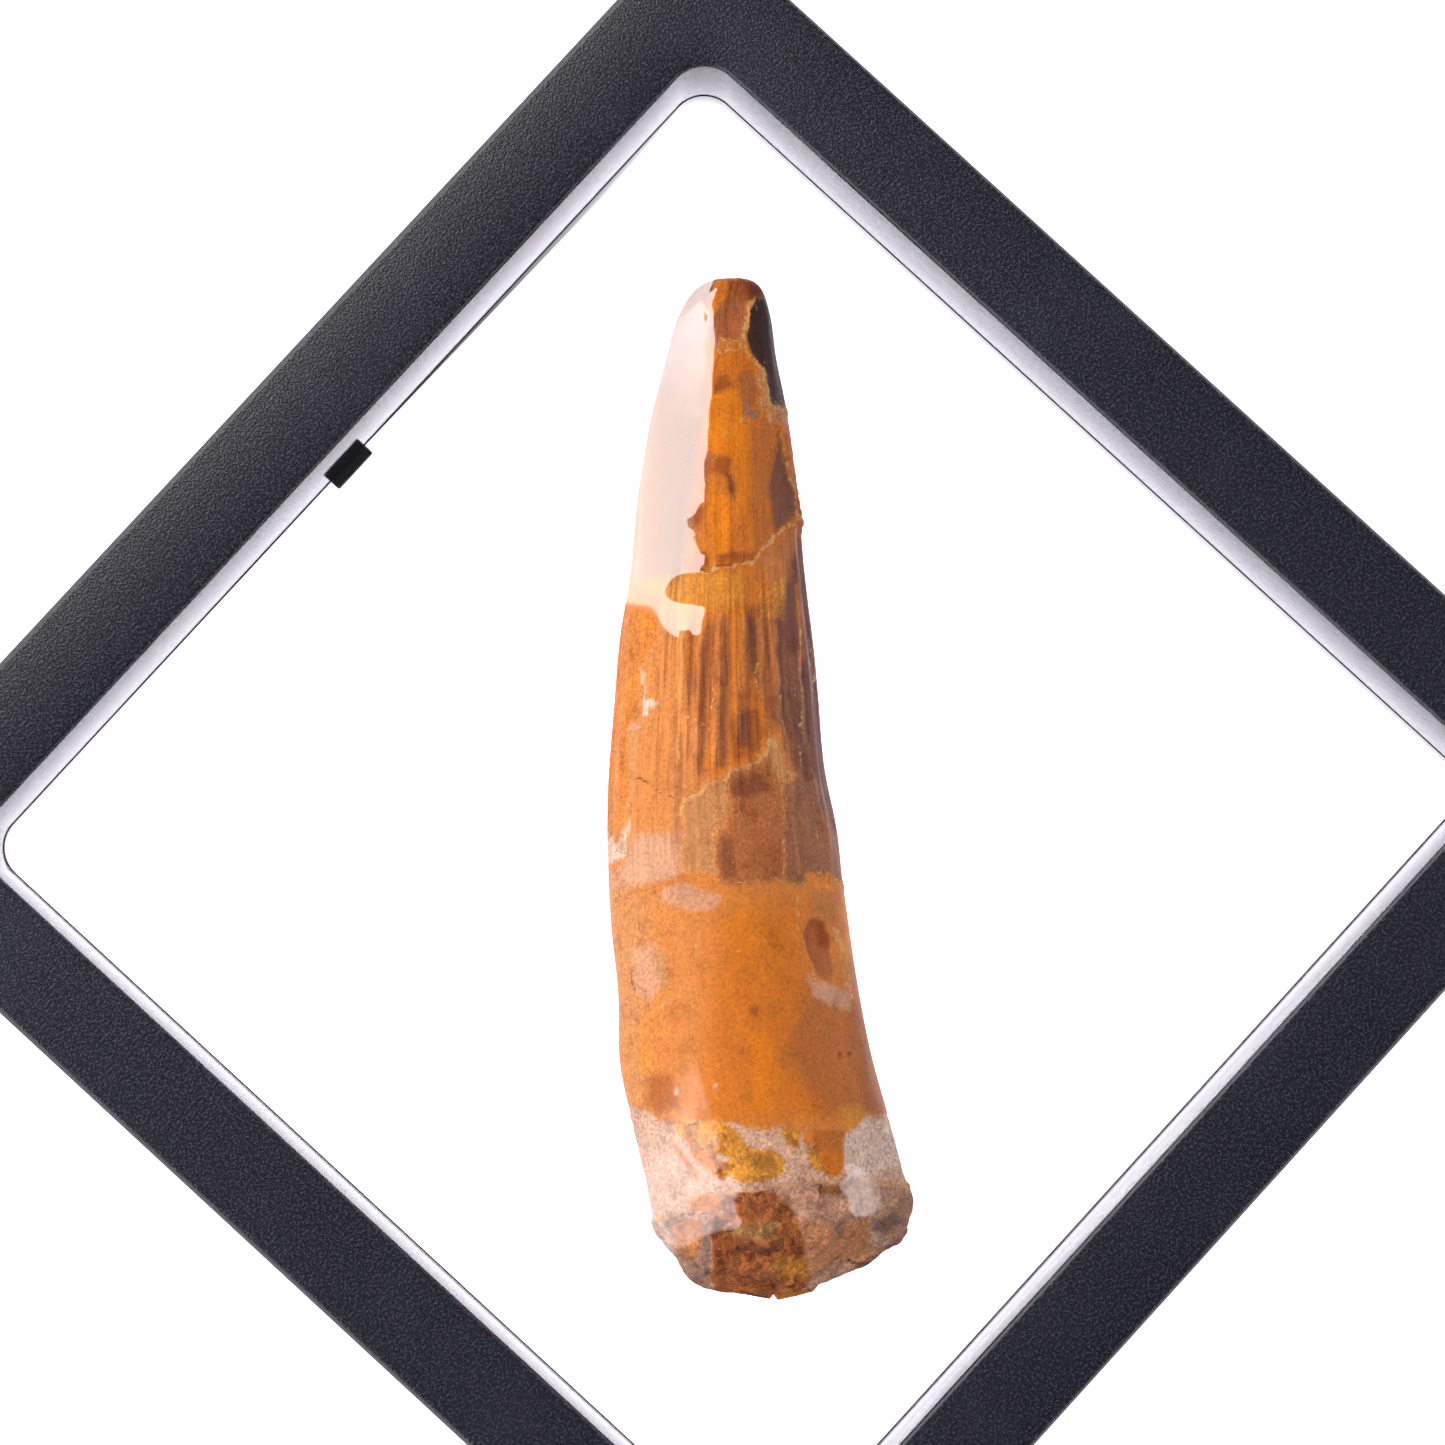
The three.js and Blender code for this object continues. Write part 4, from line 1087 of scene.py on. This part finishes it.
def relief(settings, along, across, turn, skin):
    """How far the skin stands out from its smooth form, in millimetres."""
    stone = within(below(LEDGE), 0.5, along, across)
    root = within(below(MAIN_CRACK), 0.15, along, across)
    worn = within(below(ENAMEL_EDGE), 0.2, along, across)
    fluted = smooth_step(along, -6, 0) * (1 - smooth_step(along, 24, 32))
    front = smooth_step(np.sin(turn), 0.25, 0.7)
    flute_height = settings.flute_height / MM
    height = flute_height * fluted * (1 - front) * np.cos(settings.flutes * turn)
    crest, groove = flutes(along, across)
    height += flute_height * front * (crest - groove)
    height += FLUTE_WAVES * fluted * wander(skin * (0.08, 1, 1), scale=0.9, seed=3)
    height += LONG_WAVES * wander(skin * (0.15, 1, 1), scale=0.5, seed=4)
    height -= front * (ROOT_STEP * root + WORN_STEP * worn + STONE_STEP * stone)
    height += (WORN_ROUGHNESS * worn + STONE_ROUGHNESS * stone) * wander(skin, scale=0.45, seed=5, octaves=6)
    lumps = np.abs(wander(skin, scale=1.1, seed=6, octaves=3))
    height += CRYSTAL_HEIGHT * strongest(CRYSTAL_PLACES, along, across) * (lumps - 0.2)
    height += CRUMB_HEIGHT * lumps * beside([CRUMB_LINE], along, across, 0.7)
    height += VEIL_EDGE_HEIGHT * lumps * beside([VEIL_EDGE], along, across, 0.5)
    height += CRACK_HEIGHT * beside(RAISED_CRACKS, along, across, 0.3)
    height -= PIT_DEPTH * smooth_step(depth_inside(PIT, along, across), -0.1, 0.9)
    height -= FACET_DEPTH * smooth_step(depth_inside(FACET, along, across), -0.3, 0.9)
    return height


class FOSSIL_OT_tooth(bpy.types.Operator):
    """Fossil tooth with its sandstone core"""

    bl_idname = "fossil.tooth"
    bl_label = "Tooth"

    def execute(self, context):
        settings = context.scene.fossil_tooth
        bm = bmesh.new()
        bmesh.ops.create_uvsphere(bm, u_segments=settings.around, v_segments=settings.lengthwise, radius=1)
        tooth = new_piece("spinosaurus_tooth", bm, fossil())
        mesh = tooth.data
        ball = vectors(mesh.vertices, "co")
        share = np.arccos(np.clip(ball[:, 2], -1, 1)) / math.pi
        turn = np.arctan2(ball[:, 1], ball[:, 0])
        turn += FRONT_CROWDING * np.cos(turn)
        along, left, right, depth = curve_through(TOOTH_STATIONS, even_places(TOOTH_STATIONS, share)).T
        is_end = (share < END_SHARE) | (share > 1 - END_SHARE)
        depth = np.where(is_end, 0, depth)
        half_width = np.where(is_end, 0, (right - left) / 2)
        across = (left + right) / 2 + half_width * np.cos(turn)
        points = np.stack([across, along, depth * np.sin(turn)], axis=1)
        put_coordinates(mesh, points)
        mesh.flip_normals()
        normals = vectors(mesh.vertices, "normal")
        skin = np.stack([along, SKIN_RADIUS * np.cos(turn), SKIN_RADIUS * np.sin(turn)], axis=1)
        behind = smooth_step(-np.sin(turn), 0, 0.6)
        mark_along = along + BACK_SHIFT * behind + RAGGED * wander(skin, scale=0.55, seed=1)
        mark_across = points[:, 0] + RAGGED * wander(skin, scale=0.55, seed=2)
        points += normals * relief(settings, mark_along, mark_across, turn, skin)[:, None]
        turned = Matrix.Rotation(TOOTH_TURN, 3, "Z")
        put_coordinates(mesh, points @ np.array(turned).T * MM + np.array(MIDDLE))
        store(mesh, "skin", skin)
        store(mesh, "tint", paint(mark_along, mark_across))
        for name, lines in (("bold_crack", BOLD_CRACKS), ("thin_crack", THIN_CRACKS), ("slit_shadow", SLIT_SHADOW_LINES)):
            store(mesh, name, nearest_line(lines, mark_along, mark_across))
        store(mesh, "stone", strongest(CRYSTAL_PLACES, mark_along, mark_across))
        store(mesh, "grainy", strongest(GRAINY_PLACES, mark_along, mark_across))
        store(mesh, "streaky", streaks(mark_along, mark_across))
        settle_on(tooth, "back_half", "tooth")
        return {"FINISHED"}


# Films

SETTLING_ROUNDS = 600
SETTLING_SPEED = 1.93


def settled(least, is_free):
    """Heights of a stretched film: each free crossing settles at its neighbours' mean, never under least."""
    heights = np.where(is_free, least, 0.0)
    odd = np.indices(least.shape).sum(0) % 2 == 1
    for turn in range(SETTLING_ROUNDS):
        padded = np.pad(heights, 1)
        mean = (padded[:-2, 1:-1] + padded[2:, 1:-1] + padded[1:-1, :-2] + padded[1:-1, 2:]) / 4
        moved = np.maximum(heights + SETTLING_SPEED * (mean - heights), least)
        heights = np.where(is_free & (odd == (turn % 2 == 0)), moved, heights)
    return heights


def film_piece(name, settings, side, tooth_points, material):
    """Film over the tooth's points; side is 1 for the front film and -1 for the back one."""
    cells = settings.cells
    bm = bmesh.new()
    bmesh.ops.create_grid(
        bm, x_segments=cells, y_segments=cells, size=settings.rim, matrix=Matrix.Translation(MIDDLE))
    film = new_piece(name, bm, material)
    points = vectors(film.data.vertices, "co")
    cell = 2 * settings.rim / cells
    rows = np.rint((points[:, :2] - MIDDLE.xy + settings.rim) / cell).astype(int)
    least = np.zeros((cells + 1, cells + 1))
    pushing = side * (tooth_points[:, 2] - MIDDLE.z) + settings.clearance
    nearest = np.rint((tooth_points[:, :2] - MIDDLE.xy + settings.rim) / cell).astype(int)
    front = pushing > settings.clearance
    np.maximum.at(least, tuple(nearest[front].T), pushing[front])
    reach = np.abs(np.linspace(-settings.rim, settings.rim, cells + 1))
    is_free = np.maximum.outer(reach, reach) < settings.free
    heights = settled(least, is_free)
    points[:, 2] = MIDDLE.z + side * (heights[tuple(rows.T)] + settings.thickness)
    put_coordinates(film.data, points)
    shell = film.modifiers.new("Thickness", "SOLIDIFY")
    shell.thickness = settings.thickness
    shell.offset = 0
    return film


class FOSSIL_OT_films(bpy.types.Operator):
    """Two clear films stretched over the tooth"""

    bl_idname = "fossil.films"
    bl_label = "Films"

    def execute(self, context):
        settings = context.scene.fossil_film
        tooth = bpy.data.objects.get("spinosaurus_tooth")
        if tooth is None:
            raise RuntimeError("the films are stretched over the tooth, so it is made first")
        points = vectors(tooth.data.vertices, "co")
        material = clear_film()
        for side, name in ((-1, "back"), (1, "front")):
            film = film_piece(f"{name}_clear_film", settings, side, points, material)
            settle_on(film, f"{name}_half", f"{name}_film")
            if name == "front":
                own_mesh(film)
        return {"FINISHED"}


# Stage

CAMERA_PLACE = (-0.018802, -0.007941, 0.454497)
CAMERA_TURN = (3.618, -0.6697, -47.4941)
CAMERA_LENS = 126.906
CLIP_START = 0.01
CLIP_END = 20

# Directions on the table, seen from the middle of the frame
TOWARD_LEFT = Vector((-1, 1, 0)).normalized()
TOWARD_TIP = Vector((1, 1, 0)).normalized()
UP = Vector((0, 0, 1))

# Floor and lights, in metres from the middle of the frame
FLOOR_HALF = 3.0
FLOOR_DROP = 0.1 * MM
SOFTBOX_PLACE = MIDDLE + TOWARD_LEFT * 0.29 + TOWARD_TIP * 0.575 + UP * 0.59
SOFTBOX_SIZE = (0.32, 0.76)
SIDE_LIGHT_PLACE = MIDDLE + TOWARD_LEFT * 0.72 + UP * 0.36
SIDE_LIGHT_SIZE = (0.5, 0.3)
ROOM_TINT = (0.98, 0.96, 1.0, 1)
FLOOR_TINT = (0.96, 0.91, 1.0, 1)
WARM = (1.0, 0.965, 0.95)
COOL = (0.93, 0.96, 1.0)


def area_light(name, place, target, size, radiance, tint, turn=0):
    """Rectangular light at a place, facing a target, with the same brightness whatever its size."""
    light = bpy.data.lights.new(name, "AREA")
    light.shape = "RECTANGLE"
    light.size, light.size_y = size
    light.energy = radiance * size[0] * size[1] * math.pi
    light.color = tint
    lamp = bpy.data.objects.new(name, light)
    facing = (target - place).to_track_quat("-Z", "Y").to_matrix()
    lamp.location = place
    lamp.rotation_euler = (facing @ Matrix.Rotation(turn, 3, "Z")).to_euler()
    bpy.context.scene.collection.objects.link(lamp)


def pale_room(settings):
    """World that is white on the tooth's left, lower on its right, and dim above and past its two ends."""
    room = Shader(bpy.data.worlds.new("pale_room"))
    direction = room.node("ShaderNodeTexCoord")["Generated"]
    height = room.node("ShaderNodeSeparateXYZ", {0: direction})["Z"]
    sideways = room.node(
        "ShaderNodeVectorMath", {0: direction, 1: TOWARD_LEFT}, operation="DOT_PRODUCT")["Value"]
    level = room.node("ShaderNodeVectorMath", {0: direction, 1: (1, 1, 0)}, operation="MULTIPLY")["Vector"]
    reach = room.node("ShaderNodeVectorMath", {0: level}, operation="LENGTH")["Value"]
    left = room.math("DIVIDE", sideways, reach)
    right = room.step(left, -0.5, -0.85, 0.0, 0.52)
    limit = room.step(room.math("MAXIMUM", left, right), 0.3, 0.66, 0.2, 0.81)
    above = room.math("SUBTRACT", height, limit)
    strength = room.step(above, -0.06, 0.01, settings.horizon, settings.overhead)
    background = room.node("ShaderNodeBackground", {"Color": ROOM_TINT, "Strength": strength})["Background"]
    room.node("ShaderNodeOutputWorld", {"Surface": background})
    return room.owner


class FOSSIL_OT_stage(bpy.types.Operator):
    """White glowing floor, soft light and the camera"""

    bl_idname = "fossil.stage"
    bl_label = "Stage"

    def execute(self, context):
        settings = context.scene.fossil_stage
        scene = context.scene
        scene.view_settings.view_transform = "Standard"
        scene.world = pale_room(settings)

        bm = bmesh.new()
        bmesh.ops.create_grid(
            bm, x_segments=4, y_segments=4, size=FLOOR_HALF, matrix=Matrix.Translation(-FLOOR_DROP * UP))
        floor = new_piece("floor", bm, plain_light("white_floor", FLOOR_TINT, settings.floor_glow))

        # The films mirror the softbox where they stand off the tooth's left side
        area_light(
            "softbox", SOFTBOX_PLACE, SOFTBOX_PLACE - UP, SOFTBOX_SIZE, settings.softbox, WARM, -math.pi / 4)
        area_light("side_light", SIDE_LIGHT_PLACE, MIDDLE, SIDE_LIGHT_SIZE, settings.side_light, COOL)

        camera = bpy.data.cameras.new("camera")
        camera.lens = CAMERA_LENS
        camera.clip_start = CLIP_START
        camera.clip_end = CLIP_END
        viewer = bpy.data.objects.new("camera", camera)
        viewer.location = CAMERA_PLACE
        viewer.rotation_euler = [math.radians(turn) for turn in CAMERA_TURN]
        scene.collection.objects.link(viewer)
        scene.camera = viewer
        return {"FINISHED"}


class FOSSIL_PT_panel(bpy.types.Panel):
    """Settings and steps of the framed tooth"""

    bl_label = "Framed fossil tooth"
    bl_space_type = "VIEW_3D"
    bl_region_type = "UI"
    bl_category = "Fossil"

    def draw(self, context):
        for group, operator in (
            ("fossil_frame", "fossil.frame_halves"),
            ("fossil_tooth", "fossil.tooth"),
            ("fossil_film", "fossil.films"),
            ("fossil_stage", "fossil.stage"),
        ):
            box = self.layout.box()
            settings = getattr(context.scene, group)
            for name in settings.__annotations__:
                box.prop(settings, name)
            box.operator(operator)


SETTINGS = {
    "fossil_frame": FrameSettings,
    "fossil_film": FilmSettings,
    "fossil_tooth": ToothSettings,
    "fossil_stage": StageSettings,
}
CLASSES = (
    *SETTINGS.values(),
    FOSSIL_OT_frame_halves,
    FOSSIL_OT_tooth,
    FOSSIL_OT_films,
    FOSSIL_OT_stage,
    FOSSIL_PT_panel,
)


def register():
    for cls in CLASSES:
        bpy.utils.register_class(cls)
    for name, group in SETTINGS.items():
        setattr(bpy.types.Scene, name, bpy.props.PointerProperty(type=group))


def unregister():
    for name in SETTINGS:
        delattr(bpy.types.Scene, name)
    for cls in reversed(CLASSES):
        bpy.utils.unregister_class(cls)


def main():
    register()
    bpy.ops.fossil.stage()
    bpy.ops.fossil.frame_halves()
    bpy.ops.fossil.tooth()
    bpy.ops.fossil.films()


if __name__ == "__main__":
    main()
